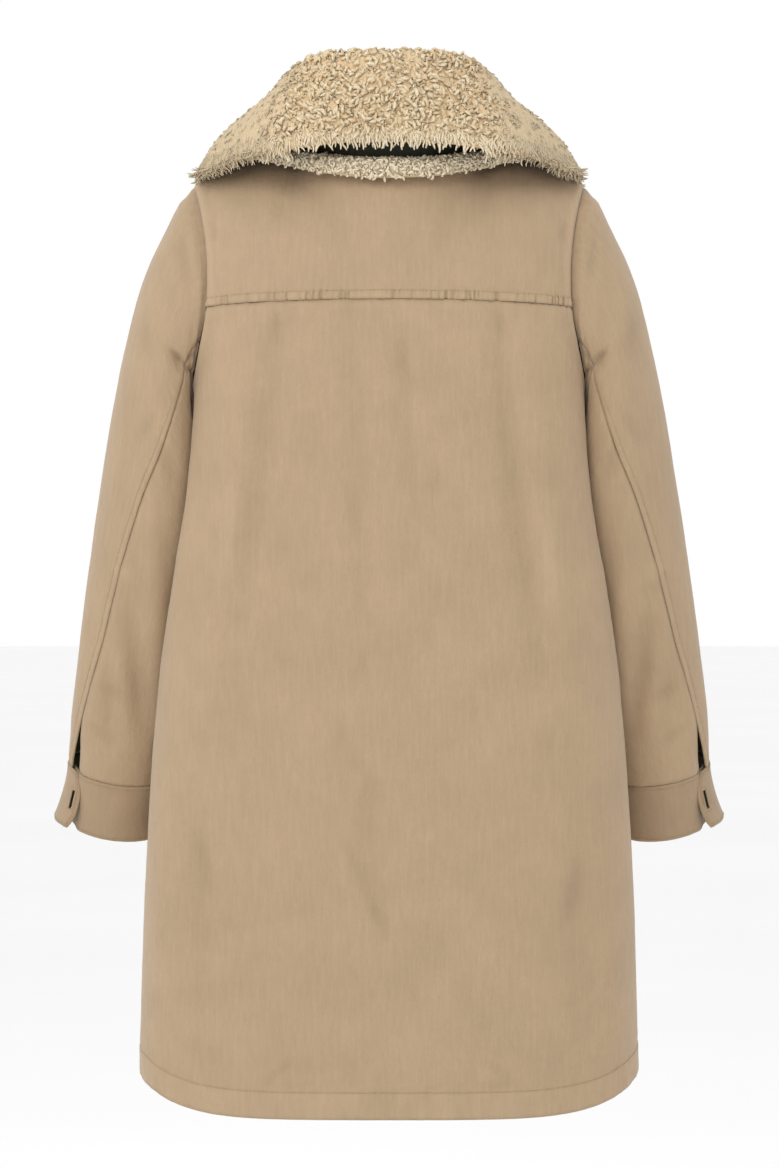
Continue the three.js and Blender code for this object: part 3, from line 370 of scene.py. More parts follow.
def uneven(x, y, seed, wide, tall):
    """Smooth seeded unevenness from about -1 to 1, with swellings of that width and height."""
    lattice = np.random.RandomState(seed).uniform(-1, 1, (64, 64))
    gx, gy = np.asarray(x) / wide + 1000.37, np.asarray(y) / tall + 1000.71
    ix, iy = np.floor(gx).astype(int), np.floor(gy).astype(int)
    fx, fy = gx - ix, gy - iy
    fx, fy = [f * f * f * (f * (6 * f - 15) + 10) for f in (fx, fy)]
    at = lambda a, b: lattice[(ix + a) % 64, (iy + b) % 64]
    low = at(0, 0) * (1 - fx) + at(1, 0) * fx
    high = at(0, 1) * (1 - fx) + at(1, 1) * fx
    return low * (1 - fy) + high * fy


def bump(d, middle, width):
    return np.exp(-(((d - middle) / width) ** 2))


def line_run(line):
    """Distance along a line of points from its first point."""
    return np.concatenate([[0], np.cumsum(np.linalg.norm(np.diff(line, axis=0), axis=1))])


def row_run(at):
    """Distance along each row of a grid from its first point."""
    steps = np.linalg.norm(np.diff(at, axis=1), axis=-1)
    return np.concatenate([np.zeros((len(at), 1)), np.cumsum(steps, axis=1)], axis=1)


def swapped(at):
    """A grid of points with its rows as columns."""
    return at.transpose(1, 0, 2)


def column_run(at):
    return row_run(swapped(at)).T


# Body


def ring_point(angle, z):
    """Points of the body's rings at angles from the wearer's left side and heights."""
    c, s = np.cos(angle), np.sin(angle)
    n = body_square(z)
    deep = np.where(s >= 0, body_back(z), body_front(z))
    r = ((np.abs(c) / body_side(z)) ** n + (np.abs(s) / deep) ** n) ** (-1 / n)
    y = r * s
    bow = ((y - press_y(z)) / press_deep(z)) ** 2
    limit = press_x(z) - PRESS_CLEARANCE + PRESS_BOW * bow * (1 + bow)
    pressed = np.logaddexp(0, (np.abs(r * c) - limit) / PRESS_SOFTNESS)
    return stack(np.sign(c) * (np.abs(r * c) - PRESS_SOFTNESS * pressed), y, z)


def angle_at_y(y, z):
    y, z = np.broadcast_arrays(np.asarray(y, float), np.asarray(z, float))
    low = np.where(y >= 0, 0, -np.pi / 2)
    high = np.where(y >= 0, np.pi / 2, 0)
    for _ in range(30):
        mid = (low + high) / 2
        below = ring_point(mid, z)[..., 1] < y
        low, high = np.where(below, mid, low), np.where(below, high, mid)
    return (low + high) / 2


def armhole_y(z):
    t = (ARMHOLE_MID_Z - z) / (ARMHOLE_MID_Z - ARMPIT_Z)
    return np.where(z <= ARMPIT_Z, 0, ARMHOLE_HALF_DEPTH * np.sqrt(np.maximum(0, 1 - t * t)))


def hem_height(z, x, y):
    """Heights of points where the rows bend down to the curved hem."""
    near = ease((z - HEM_Z - 330) / -330)
    side = np.minimum(1, np.abs(x) / body_side(z)) ** 6
    front = np.where(y < 0, HEM_FRONT_RISE * (1 - side) * ease(-y / 60), 0)
    return z + near * (HEM_SIDE_RISE * side + front)


def row_angles(z, is_back, shares):
    """Angles of one row's columns, and their distances along the row."""
    way = 1 if is_back else -1
    angles = way * np.linspace(0, np.pi, RING_STEPS)
    lengths = line_run(ring_point(angles, np.full(RING_STEPS, z)))
    edge_angle = abs(float(angle_at_y(way * max(SEAM_GAP / 2, float(armhole_y(z))), z)))
    edge = np.interp(edge_angle, np.abs(angles), lengths)
    off = 1 - 2 * shares
    want = shares * lengths[-1] + np.sign(off) * edge * off * off
    return np.interp(want, lengths, angles), want - lengths[-1] / 2


def chest_height(x, z):
    return z - YOKE_SIDE_DIP * np.minimum(1, np.abs(x) / 180) ** 2


def row_heights(spacing):
    low = np.linspace(HEM_Z, ARMPIT_Z, round((ARMPIT_Z - HEM_Z) / spacing) + 1)
    turns = np.linspace(0, np.pi / 2, round(1.35 * (YOKE_Z - ARMPIT_Z) / spacing) + 1)[1:]
    return np.concatenate([low, ARMPIT_Z + (YOKE_Z - ARMPIT_Z) * (np.sin(turns - np.pi / 2) + 1)])


def top_point(u, is_back):
    """Where the upper body's columns end: on the neckline, or on the shoulder seam further out."""
    side, share = np.where(u < 0, -1, 1), np.abs(u)
    turn = np.pi / 2 * np.minimum(1, share / NECK_SHARE)
    end = NECK_BACK if is_back else NECK_FRONT
    cos = np.maximum(0, np.cos(turn))
    t = np.clip((share - NECK_SHARE) / (1 - NECK_SHARE), 0, 1)
    on_neck = share <= NECK_SHARE
    fall = t * t * (1.25 - 0.25 * t)
    x = np.where(on_neck, NECK_SIDE[0] * np.sin(turn), NECK_SIDE[0] + t * (SHOULDER_TIP[0] - NECK_SIDE[0]))
    y = np.where(on_neck, NECK_SIDE[1] + (end[0] - NECK_SIDE[1]) * cos, NECK_SIDE[1])
    z = np.where(
        on_neck, NECK_SIDE[2] + (end[1] - NECK_SIDE[2]) * cos ** (1 if is_back else 1.25),
        NECK_SIDE[2] + fall * (SHOULDER_TIP[2] - NECK_SIDE[2]),
    )
    return stack(-side * x, y, z)


def upper_surface(is_back):
    """The surface from the chest line up: u from -1 at the left armhole to 1, t from 0 up to 1."""
    shares = np.linspace(0, 1, CHEST_STEPS)
    angles = row_angles(YOKE_Z, is_back, shares)[0]

    def surface(u, t):
        u, t = np.broadcast_arrays(np.asarray(u, float), np.asarray(t, float))
        c = np.clip(u, -1, 1)
        angle = np.interp((c + 1) / 2, shares, angles)
        low = ring_point(angle, np.full(c.shape, YOKE_Z))
        lean = (ring_point(angle, np.full(c.shape, YOKE_Z + 2)) - low) / 2
        low[..., 2] = chest_height(low[..., 0], YOKE_Z)
        high = top_point(c, is_back)
        neck = 1 - ease((np.abs(c) - 0.2) / 0.4)
        if is_back:
            arrive = stack(0, -1 + 0.5 * neck, 0.06 + 0.81 * neck)
        else:
            arrive = stack(0, 1 - 0.58 * neck, 0.16 + 0.74 * neck)
        reach = np.maximum(24, np.abs(high[..., 1] - low[..., 1]) * 0.42 + 14 * neck)[..., None]
        p1 = low + lean * ((high[..., 2] - low[..., 2]) * 0.52)[..., None]
        p2 = high - arrive * reach
        t = t[..., None]
        q = 1 - t
        return low * q ** 3 + p1 * 3 * q * q * t + p2 * 3 * q * t * t + high * t ** 3

    return surface


upper_back = upper_surface(True)
upper_front = upper_surface(False)


# Meshes


def mesh_of(name, points, faces, finishes, finish_of=None, uv=None, smooth=True, values=None):
    """An object at the origin from points in millimetres, with its UV map in metres."""
    mesh = bpy.data.meshes.new(name)
    mesh.from_pydata(points * MM, [], faces)
    for finish in finishes:
        mesh.materials.append(finish)
    if finish_of is not None:
        mesh.polygons.foreach_set("material_index", np.asarray(finish_of, np.int32))
    if smooth:
        mesh.polygons.foreach_set("use_smooth", np.ones(len(faces), bool))
    if uv is not None:
        corner = np.zeros(len(mesh.loops), np.int32)
        mesh.loops.foreach_get("vertex_index", corner)
        layer = mesh.uv_layers.new(name="cut")
        layer.data.foreach_set("uv", (uv[corner] * MM).astype(np.float32).ravel())
    for key, value in (values or {}).items():
        kind = "FLOAT" if value.ndim == 1 else "FLOAT_VECTOR"
        field = "value" if value.ndim == 1 else "vector"
        attribute = mesh.attributes.new(key, kind, "POINT")
        attribute.data.foreach_set(field, value.astype(np.float32).ravel())
    mesh.update()
    made = bpy.data.objects.new(name, mesh)
    bpy.context.scene.collection.objects.link(made)
    return made


def grid_faces(m, n, start=0):
    i, j = np.meshgrid(np.arange(m - 1), np.arange(n - 1), indexing="ij")
    a = (start + i * n + j).ravel()
    return np.stack([a, a + 1, a + n + 1, a + n], 1)


def ring_faces(rows, sides):
    """Faces between rings of points that follow each other."""
    faces = []
    for i in range(rows - 1):
        for j in range(sides):
            k = (j + 1) % sides
            faces.append((i * sides + j, i * sides + k, (i + 1) * sides + k, (i + 1) * sides + j))
    return faces


def capped_faces(rows, sides):
    """Faces of rings closed at both ends round two middle points, which follow the rings."""
    faces = ring_faces(rows, sides)
    for j in range(sides):
        k = (j + 1) % sides
        faces.append((rows * sides, k, j))
        faces.append((rows * sides + 1, (rows - 1) * sides + j, (rows - 1) * sides + k))
    return faces


def turned_out(points, faces):
    """Faces of a closed shape, turned over if they look inwards."""
    a, b, c = [points[[f[i] for f in faces]] for i in range(3)]
    return [f[::-1] for f in faces] if (a * np.cross(b, c)).sum() < 0 else faces


def signed_volume(points, faces):
    a, b, c, d = [points[faces[:, i]] for i in range(4)]
    return float((a * np.cross(b, c)).sum() + (a * np.cross(c, d)).sum())


def shell(name, outer, inner, uv, finishes, crease_wear_and_shade):
    """A closed thin shell of cloth between two grids of points, with rounded rims."""
    m, n = outer.shape[:2]
    outer, inner, rim = round_rims(outer, inner)
    points = np.concatenate([outer.reshape(-1, 3), inner.reshape(-1, 3), rim])
    faces = [grid_faces(m, n), grid_faces(m, n, m * n)[:, ::-1]]
    loop = border(m, n)
    middle = 2 * m * n + np.arange(len(loop))
    after = np.roll(loop, -1)
    faces.append(np.stack([after, loop, middle, np.roll(middle, -1)], 1))
    faces.append(np.stack([np.roll(middle, -1), middle, loop + m * n, after + m * n], 1))
    kinds = np.concatenate([np.zeros(len(faces[0])), np.ones(len(faces[1])), np.zeros(2 * len(loop))])
    faces = np.concatenate(faces)
    if signed_volume(points, faces) < 0:
        faces = faces[:, ::-1]
    flat = uv.reshape(-1, 2)
    # The relief also colours the cotton: wear on its ridges, painted shade in its troughs
    tone = crease_wear_and_shade.ravel()
    uvs = np.concatenate([flat, flat, flat[loop]])
    tones = np.concatenate([tone, tone, tone[loop]])
    return mesh_of(name, points, faces.tolist(), finishes, kinds, uvs, values={"crease_wear_and_shade": tones})


def border(m, n):
    """Indices of a grid's border, once round, the way its faces turn."""
    top = np.arange(n)
    right = np.arange(1, m) * n + n - 1
    bottom = (m - 1) * n + np.arange(n - 2, -1, -1)
    left = np.arange(m - 2, 0, -1) * n
    return np.concatenate([top, right, bottom, left])


def round_rims(outer, inner):
    """The grids with their borders drawn in a little, and the rim's points half way between."""
    m, n = outer.shape[:2]
    loop = border(m, n)
    a, b = outer.reshape(-1, 3).copy(), inner.reshape(-1, 3).copy()
    rim = (a[loop] + b[loop]) / 2
    thick = (a[loop] - b[loop]) / 2
    a[loop] = rim + thick * 0.66
    b[loop] = rim - thick * 0.66
    return a.reshape(outer.shape), b.reshape(inner.shape), rim


# Finishes


class Nodes:
    """Short ways to add and join the nodes of a tree."""

    def __init__(self, tree):
        self.tree = tree

    def node(self, kind, links=None, **settings):
        made = self.tree.nodes.new(kind)
        for key, value in settings.items():
            setattr(made, key, value)
        for key, value in (links or {}).items():
            self.set(made.inputs[key], value)
        return made

    def set(self, socket, value):
        if isinstance(value, bpy.types.NodeSocket):
            self.tree.links.new(value, socket)
        else:
            socket.default_value = value

    def sum(self, a, b, how="ADD"):
        return self.node("ShaderNodeMath", {0: a, 1: b}, operation=how).outputs[0]


class Finish(Nodes):
    """A material and short ways to dress it."""

    def __init__(self, name):
        self.material = bpy.data.materials.new(name)
        self.material.use_nodes = True
        super().__init__(self.material.node_tree)
        self.shader = self.tree.nodes["Principled BSDF"]

    def scaled(self, socket, scale):
        return self.node("ShaderNodeMapping", {"Vector": socket, "Scale": scale}).outputs["Vector"]

    def noise(self, socket, scale, detail=3.0, rough=0.55):
        made = self.node(
            "ShaderNodeTexNoise", {"Vector": socket, "Scale": scale, "Detail": detail, "Roughness": rough},
        )
        return made.outputs["Fac"]

    def between(self, socket, low, high, to_low=0.0, to_high=1.0):
        made = self.node("ShaderNodeMapRange", {
            "Value": socket, "From Min": low, "From Max": high, "To Min": to_low, "To Max": to_high,
        })
        return made.outputs["Result"]

    def mix(self, share, a, b, how="MIX"):
        made = self.node("ShaderNodeMix", data_type="RGBA", blend_type=how)
        self.set(made.inputs["Factor"], share)
        self.set(made.inputs[6], a)
        self.set(made.inputs[7], b)
        return made.outputs[2]

    def relief(self, height, distance, strength=1.0, after=None):
        links = {"Height": height, "Distance": distance, "Strength": strength}
        if after is not None:
            links["Normal"] = after
        return self.node("ShaderNodeBump", links).outputs["Normal"]

    def done(self, **values):
        names = {
            "base": "Base Color", "rough": "Roughness", "normal": "Normal", "level": "Specular IOR Level",
            "sheen": "Sheen Weight", "sheen_rough": "Sheen Roughness", "sheen_tint": "Sheen Tint",
        }
        for key, value in values.items():
            self.set(self.shader.inputs[names[key]], value)
        return self.material


def tint(rgb, by=1.0):
    return (rgb[0] * by, rgb[1] * by, rgb[2] * by, 1.0)


def cotton_finish(name, rgb, level=1.0):
    """Brushed cotton twill: mottled, with fine streaks, a diagonal rib, worn ridges and painted shade in the
    troughs of its relief.
    """
    f = Finish(name)
    uv = f.node("ShaderNodeTexCoord").outputs["UV"]
    cloud = f.noise(uv, 16.0, 4.0, 0.6)
    streak = f.noise(f.scaled(uv, (1500.0, 90.0, 1.0)), 1.0, 2.0)
    slub = f.noise(f.scaled(uv, (260.0, 26.0, 1.0)), 1.0, 3.0)
    rib = f.node("ShaderNodeTexWave", {
        "Vector": f.scaled(uv, (1.0, 0.62, 1.0)), "Scale": 190.0, "Distortion": 1.2, "Detail": 1.0,
        "Detail Scale": 1.0,
    }, wave_type="BANDS", bands_direction="DIAGONAL").outputs["Fac"]
    base = f.mix(f.between(cloud, 0.3, 0.7), tint(rgb, 0.93 * level), tint(rgb, 1.06 * level))
    base = f.mix(f.between(streak, 0.3, 0.7, 0.0, 0.3), base, tint(rgb, 0.76 * level))
    base = f.mix(f.between(slub, 0.42, 0.72, 0.0, 0.26), base, tint(rgb, 1.2 * level))
    crease_wear_and_shade = f.node("ShaderNodeAttribute", attribute_name="crease_wear_and_shade").outputs["Fac"]
    # Ridges of the relief lean to worn cotton; its troughs are darkened as painted shade
    base = f.mix(f.between(crease_wear_and_shade, 0.1, 1.2, 0.0, 0.12), base, tint(WORN_COTTON, level))
    base = f.mix(f.between(crease_wear_and_shade, -0.25, -2.2, 0.0, 0.36), base, tint(rgb, 0.55 * level))
    normal = f.relief(rib, 0.00014, 0.35)
    normal = f.relief(streak, 0.0004, 0.45, normal)
    normal = f.relief(f.noise(uv, 230.0, 3.0), 0.0011, 0.35, normal)
    normal = f.relief(f.noise(uv, 70.0, 3.0), 0.004, 0.3, normal)
    rough = f.between(cloud, 0.3, 0.7, 0.8, 0.92)
    return f.done(base=base, rough=rough, normal=normal, sheen=0.16, sheen_rough=0.45, level=0.25)


def lining_finish(rgb):
    """Dark green plain-weave lining."""
    f = Finish("lining")
    uv = f.node("ShaderNodeTexCoord").outputs["UV"]
    weave = f.node("ShaderNodeTexChecker", {"Vector": uv, "Scale": 900.0}).outputs["Fac"]
    cloud = f.noise(uv, 30.0, 4.0)
    base = f.mix(f.between(cloud, 0.3, 0.7), tint(rgb, 0.8), tint(rgb, 1.3))
    normal = f.relief(weave, 0.0002, 0.4)
    normal = f.relief(f.noise(uv, 60.0, 3.0), 0.0016, 0.4, normal)
    return f.done(base=base, rough=f.between(cloud, 0.3, 0.7, 0.7, 0.85), normal=normal, level=0.3)


def wool_finish(name, tip, middle, root, low=0.0):
    """Shearling fibres: dark at the root and pale at the tip, each lock a little different; the dark roots
    are partly the wool's own tone and partly painted shade deep in the pile.
    """
    f = Finish(name)
    where = f.node("ShaderNodeTexCoord").outputs["Object"]
    along = f.node("ShaderNodeAttribute", attribute_name="along").outputs["Fac"]
    shade = f.node("ShaderNodeAttribute", attribute_name="shade").outputs["Fac"]
    soft = f.node("ShaderNodeAttribute", attribute_name="soft").outputs["Fac"]
    patch = f.noise(where, 60.0, 2.0)
    fibre = f.noise(where, 900.0, 2.0)
    lighter = f.between(shade, 0.0, 1.0, -0.22, 0.22)
    patchy = f.between(patch, 0.3, 0.7, -0.12, 0.12)
    up = f.sum(f.sum(along, lighter), patchy)
    base = f.mix(f.between(up, low, 0.55), tint(root), tint(middle))
    base = f.mix(f.between(up, 0.4, 1.1), base, tint(tip))
    even = tuple((0.55 * a + 0.45 * b) * 0.5 for a, b in zip(middle, tip))
    base = f.mix(f.between(soft, 0.0, 1.0, 0.0, 0.88), base, tint(even))
    base = f.mix(f.between(fibre, 0.35, 0.7, 0.0, 0.18), base, tint(root))
    normal = f.relief(fibre, 0.0008, 0.6)
    return f.done(
        base=base, rough=0.95, normal=normal, sheen=0.2, sheen_rough=0.5, level=0.15,
        sheen_tint=tint(middle),
    )


def skin_finish(root, middle):
    """The felted ground of the shearling, seen between the curls."""
    f = Finish("shearling_ground")
    where = f.node("ShaderNodeTexCoord").outputs["Object"]
    soft = f.node("ShaderNodeAttribute", attribute_name="soft").outputs["Fac"]
    curl = f.node("ShaderNodeTexVoronoi", {"Vector": where, "Scale": 190.0, "Randomness": 1.0})
    fibre = f.noise(where, 700.0, 3.0)
    # The ground takes the honey and root colours: partly the wool's own tone, partly painted shade between
    # the curls
    base = f.mix(f.between(curl.outputs["Distance"], 0.1, 0.7), tint(middle, 0.95), tint(root, 1.1))
    even = tuple(0.74 * (0.5 * a + 0.5 * b) for a, b in zip(middle, FELTED_WOOL))
    base = f.mix(f.between(soft, 0.0, 1.0, 0.0, 0.85), base, tint(even))
    base = f.mix(f.between(fibre, 0.35, 0.7, 0.0, 0.35), base, tint(root, 1.3))
    normal = f.relief(curl.outputs["Distance"], 0.002, 0.8)
    normal = f.relief(fibre, 0.001, 0.7, normal)
    return f.done(
        base=base, rough=0.95, normal=normal, sheen=0.2, sheen_rough=0.5, level=0.1,
        sheen_tint=tint(middle),
    )


def thread_finish(rgb):
    f = Finish("thread")
    where = f.node("ShaderNodeTexCoord").outputs["Object"]
    twist = f.noise(where, 1600.0, 2.0)
    base = f.mix(f.between(twist, 0.3, 0.7), tint(rgb, 0.8), tint(rgb, 1.15))
    return f.done(base=base, rough=0.6, normal=f.relief(twist, 0.0002, 0.5), level=0.4)


def horn_finish(rgb):
    """Polished horn with pale and dark streaks."""
    f = Finish("horn")
    where = f.node("ShaderNodeTexCoord").outputs["Object"]
    streak = f.noise(f.scaled(where, (260.0, 260.0, 70.0)), 1.0, 4.0, 0.65)
    base = f.mix(f.between(streak, 0.35, 0.65), tint(rgb, 0.45), tint(rgb, 1.9))
    scratch = f.noise(f.scaled(where, (2400.0, 2400.0, 300.0)), 1.0, 2.0)
    rough = f.between(scratch, 0.3, 0.7, 0.22, 0.42)
    return f.done(base=base, rough=rough, normal=f.relief(scratch, 0.0001, 0.4), level=0.5)


FINISHES = {}


def finish(name):
    """A finish of the coat, made the first time it is asked for."""
    if name not in FINISHES:
        cloth, wool = bpy.context.scene.parka_cloth, bpy.context.scene.parka_shearling
        tip, middle, root = tuple(wool.cream), tuple(wool.honey), tuple(wool.root)
        # Lighter copies of the cream for the neck edge's wool: painted light against the collar's shadow
        # over it
        pale, lit_cream = tint(tip, 1.02)[:3], tint(tip, 1.13)[:3]
        make = {
            "cotton": lambda: cotton_finish("cotton", tuple(cloth.cotton)),
            # The cuffs' cotton is a darker copy of the coat's: painted shade for their downward tilt
            "shaded_cuff_cotton": lambda: cotton_finish("shaded_cuff_cotton", tuple(cloth.cotton), 0.89),
            "lining": lambda: lining_finish(tuple(cloth.lining)),
            "wool": lambda: wool_finish("wool", tip, middle, root),
            # The neck edge's wool, nearly all tip colour: painted light under the collar
            "lit_short_wool": lambda: wool_finish("lit_short_wool", lit_cream, pale, middle, -0.5),
            "skin": lambda: skin_finish(root, middle),
            "thread": lambda: thread_finish(tuple(bpy.context.scene.parka_sewing.colour)),
            "horn": lambda: horn_finish(tuple(bpy.context.scene.parka_buttons.horn)),
        }
        FINISHES[name] = make[name]()
    return FINISHES[name]


def lined(name):
    """The finishes of a cloth's outer and inner face."""
    return [finish(name), finish("lining")]


# Scattering small shapes on many points


def scatter_tree(name, shapes):
    """A tree that sets small shapes on points, turned by the points' own directions."""
    tree = bpy.data.node_groups.new(name, "GeometryNodeTree")
    sockets = {}

    def opening(label, kind, way="INPUT"):
        sockets[label] = tree.interface.new_socket(label, in_out=way, socket_type=kind).identifier

    opening("Points", "NodeSocketGeometry")
    for i in range(shapes):
        opening(f"Shape {i + 1}", "NodeSocketObject")
    for label in ("Length", "Width", "Height", "Variation"):
        opening(label, "NodeSocketFloat")
    opening("Seed", "NodeSocketInt")
    opening("Finish", "NodeSocketMaterial")
    opening("Pieces", "NodeSocketGeometry", "OUTPUT")
    add = Nodes(tree)
    given = add.node("NodeGroupInput").outputs

    def attribute(label, kind):
        made = add.node("GeometryNodeInputNamedAttribute", {"Name": label}, data_type=kind)
        return made.outputs["Attribute"]

    join = add.node("GeometryNodeJoinGeometry")
    for i in reversed(range(shapes)):
        shape = {"Object": given[f"Shape {i + 1}"], "As Instance": True}
        tree.links.new(add.node("GeometryNodeObjectInfo", shape).outputs["Geometry"], join.inputs[0])
    stand = add.node(
        "FunctionNodeAlignRotationToVector", {"Vector": attribute("up", "FLOAT_VECTOR")}, axis="Z",
    )
    lie = add.node("FunctionNodeAlignRotationToVector", {
        "Rotation": stand.outputs["Rotation"], "Vector": attribute("lie", "FLOAT_VECTOR"),
    }, axis="X", pivot_axis="Z")
    spread = add.node("FunctionNodeRandomValue", {
        2: add.sum(1.0, given["Variation"], "SUBTRACT"), 3: add.sum(1.0, given["Variation"]),
        "Seed": given["Seed"],
    }, data_type="FLOAT")
    size = add.sum(spread.outputs[1], attribute("size", "FLOAT"), "MULTIPLY")
    sizes = add.node("ShaderNodeCombineXYZ", {
        axis: add.sum(given[label], size, "MULTIPLY")
        for axis, label in zip("XYZ", ("Length", "Width", "Height"))
    })
    place = add.node("GeometryNodeInstanceOnPoints", {
        "Points": given["Points"], "Instance": join.outputs[0], "Pick Instance": True,
        "Instance Index": attribute("kind", "INT"), "Rotation": lie.outputs["Rotation"],
        "Scale": sizes.outputs[0],
    })
    real = add.node("GeometryNodeRealizeInstances", {"Geometry": place.outputs["Instances"]})
    coat = add.node("GeometryNodeSetMaterial", {
        "Geometry": real.outputs["Geometry"], "Material": given["Finish"],
    })
    add.node("NodeGroupOutput", {"Pieces": coat.outputs["Geometry"]})
    return tree, sockets


def scatter(
    name, points, up, lie, shapes, sizes, material, variation=0.0, seed=1, size=None, values=None, kind=None,
):
    """One plain mesh of small shapes standing on points, which are in millimetres."""
    count = len(points)
    given = {
        "up": up, "lie": lie, "size": np.ones(count) if size is None else size, **(values or {}),
    }
    made = mesh_of(name, points, [], [], values=given, smooth=False)
    kinds = made.data.attributes.new("kind", "INT", "POINT")
    kinds.data.foreach_set("value", (np.zeros(count) if kind is None else kind).astype(np.int32))
    tree, sockets = scatter_tree(name + "_tree", len(shapes))
    modifier = made.modifiers.new("scatter", "NODES")
    modifier.node_group = tree
    for i, shape in enumerate(shapes):
        modifier[sockets[f"Shape {i + 1}"]] = shape
    for label, value in zip(("Length", "Width", "Height", "Variation"), (*sizes, variation)):
        modifier[sockets[label]] = float(value)
    modifier[sockets["Seed"]] = seed
    modifier[sockets["Finish"]] = material
    settle(made)
    made.data.polygons.foreach_set("use_smooth", np.ones(len(made.data.polygons), bool))
    for key in ("up", "lie", "size", "kind"):
        if key in made.data.attributes:
            made.data.attributes.remove(made.data.attributes[key])
    bpy.data.node_groups.remove(tree)
    return made


def settle(made):
    """Turns an object's evaluated shape into its plain mesh."""
    bpy.context.view_layer.update()
    graph = bpy.context.evaluated_depsgraph_get()
    mesh = bpy.data.meshes.new_from_object(
        made.evaluated_get(graph), preserve_all_data_layers=True, depsgraph=graph,
    )
    made.modifiers.clear()
    made.data = mesh


def strand(name, path, radii, sides=4, flat=1.0):
    """A small tapering tube along a path of unit length, with the share of its length stored."""
    path, radii = np.asarray(path, float), np.asarray(radii, float)
    ahead = unit(np.gradient(path, axis=0))
    across = unit(np.cross(ahead, (0.03, 0.05, 1.0)))
    over = np.cross(across, ahead)
    turn = np.linspace(0, 2 * np.pi, sides, endpoint=False)
    rings = (
        path[:, None] + across[:, None] * (radii[:, None] * np.cos(turn))[..., None]
        + over[:, None] * (radii[:, None] * np.sin(turn) * flat)[..., None]
    )
    m = len(path)
    points = np.concatenate([rings.reshape(-1, 3), path[-1:] + ahead[-1:] * radii[-1]])
    faces = ring_faces(m, sides)
    faces += [((m - 1) * sides + j, (m - 1) * sides + (j + 1) % sides, m * sides) for j in range(sides)]
    faces.append(tuple(range(sides))[::-1])
    along = np.concatenate([np.repeat(np.linspace(0, 1, m), sides), [1.0]])
    return mesh_of(name, points / MM, turned_out(points, faces), [], values={"along": along})


def curl_shapes():
    """Four curls and two straight locks, of unit length along X with Z up."""
    shapes = []
    t = np.linspace(0, 1, 6)
    for i, (whirl, side, lift, wide) in enumerate([
        (1.5, 1, 0.42, 0.3), (2.1, -1, 0.34, 0.26), (1.2, -1, 0.5, 0.34), (2.6, 1, 0.38, 0.22),
    ]):
        turn = whirl * np.pi * t
        path = np.stack([
            0.56 * t + 0.24 * np.sin(turn) * t, side * wide * (1 - np.cos(turn)) * (0.4 + 0.6 * t),
            lift * np.sin(np.pi * np.minimum(1, 0.12 + 0.86 * t)) - 0.14,
        ], 1)
        radii = 0.255 * (0.5 + 0.5 * np.sin(np.pi * t)) * (1 - 0.3 * t)
        shapes.append(strand(f"curl_{i}", path, radii, sides=3))
    for i, wave in enumerate((0.07, -0.09)):
        path = np.stack([t, wave * np.sin(5.2 * t), 0.18 * np.sin(2.5 * t) - 0.12 * (1 - t)], 1)
        shapes.append(strand(f"lock_{i}", path, 0.13 * (1 - 0.5 * t ** 2), sides=3))
    return shapes


def stitch_shape():
    t = np.linspace(-1, 1, 5)
    path = np.stack([0.5 * t, 0 * t, 0.55 * (1 - t * t) - 0.25], 1)
    return strand("stitch", path, np.array([0.28, 0.46, 0.5, 0.46, 0.28]))


def drop_shapes(shapes):
    for shape in shapes:
        mesh = shape.data
        bpy.data.objects.remove(shape)
        bpy.data.meshes.remove(mesh)


def stitches(name, rows):
    """Rows of stitches; a row is points along the cloth and the cloth's outward directions there."""
    sewing = bpy.context.scene.parka_sewing
    places, ups, lies = [], [], []
    for line, out in rows:
        run = line_run(line)
        at = np.arange(sewing.pitch / MM / 2, run[-1], sewing.pitch / MM)
        along = lambda values: np.stack([np.interp(at, run, values[:, i]) for i in range(3)], 1)
        places.append(along(line))
        ups.append(unit(along(out)))
        lies.append(unit(along(np.gradient(line, axis=0))))
    shape = stitch_shape()
    made = scatter(
        name, np.concatenate(places), np.concatenate(ups), np.concatenate(lies), [shape],
        (sewing.stitch, sewing.thread, sewing.thread), finish("thread"),
    )
    drop_shapes([shape])
    return made


def sewn(made, slot, *nodes):
    """A piece that moves with the coat, and what it stands for."""
    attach(made, "root")
    if nodes:
        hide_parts(*nodes)
    return made


# Relief of the cloth, in millimetres outwards


def drape(u, v, seed):
    """The broad, soft unevenness of hanging cotton, and its finer rumple."""
    broad = 1.3 * uneven(u, v, seed, 62, 190) + 0.5 * uneven(u, v, seed + 1, 30, 80)
    fine = 0.2 * uneven(u, v, seed + 2, 13, 22) + 0.09 * uneven(u, v, seed + 3, 5.5, 9)
    return broad, fine


def puckers(run, away, seed, strength, reach):
    """Small gathers along a seam: run along it, away from it."""
    wave = uneven(run, 0 * run + seed, seed, 3.1, 1) + 0.6 * uneven(run, 0 * run + seed, seed + 5, 6.4, 1)
    return strength * wave * np.exp(-((np.abs(away) / reach) ** 2))


def row_line(at, out, distance, where, lift=0.15):
    """A line over a grid where a distance measured on its rows or columns has a given value."""
    lines, ways = [], []
    for i in range(at.shape[1]):
        order = np.argsort(distance[:, i])
        lines.append([np.interp(where, distance[order, i], at[order, i, k]) for k in range(3)])
        ways.append([np.interp(where, distance[order, i], out[order, i, k]) for k in range(3)])
    lines, ways = np.array(lines), unit(np.array(ways))
    return lines + ways * lift, ways


def front_share(z):
    """The share of a front row at which the front's lap ends."""
    low, high = 0.5, 0.62
    for _ in range(18):
        mid = (low + high) / 2
        angle = row_angles(z, False, np.array([mid]))[0]
        low, high = (mid, high) if ring_point(angle, np.array([z]))[0, 0] > -OVERLAP else (low, mid)
    return low


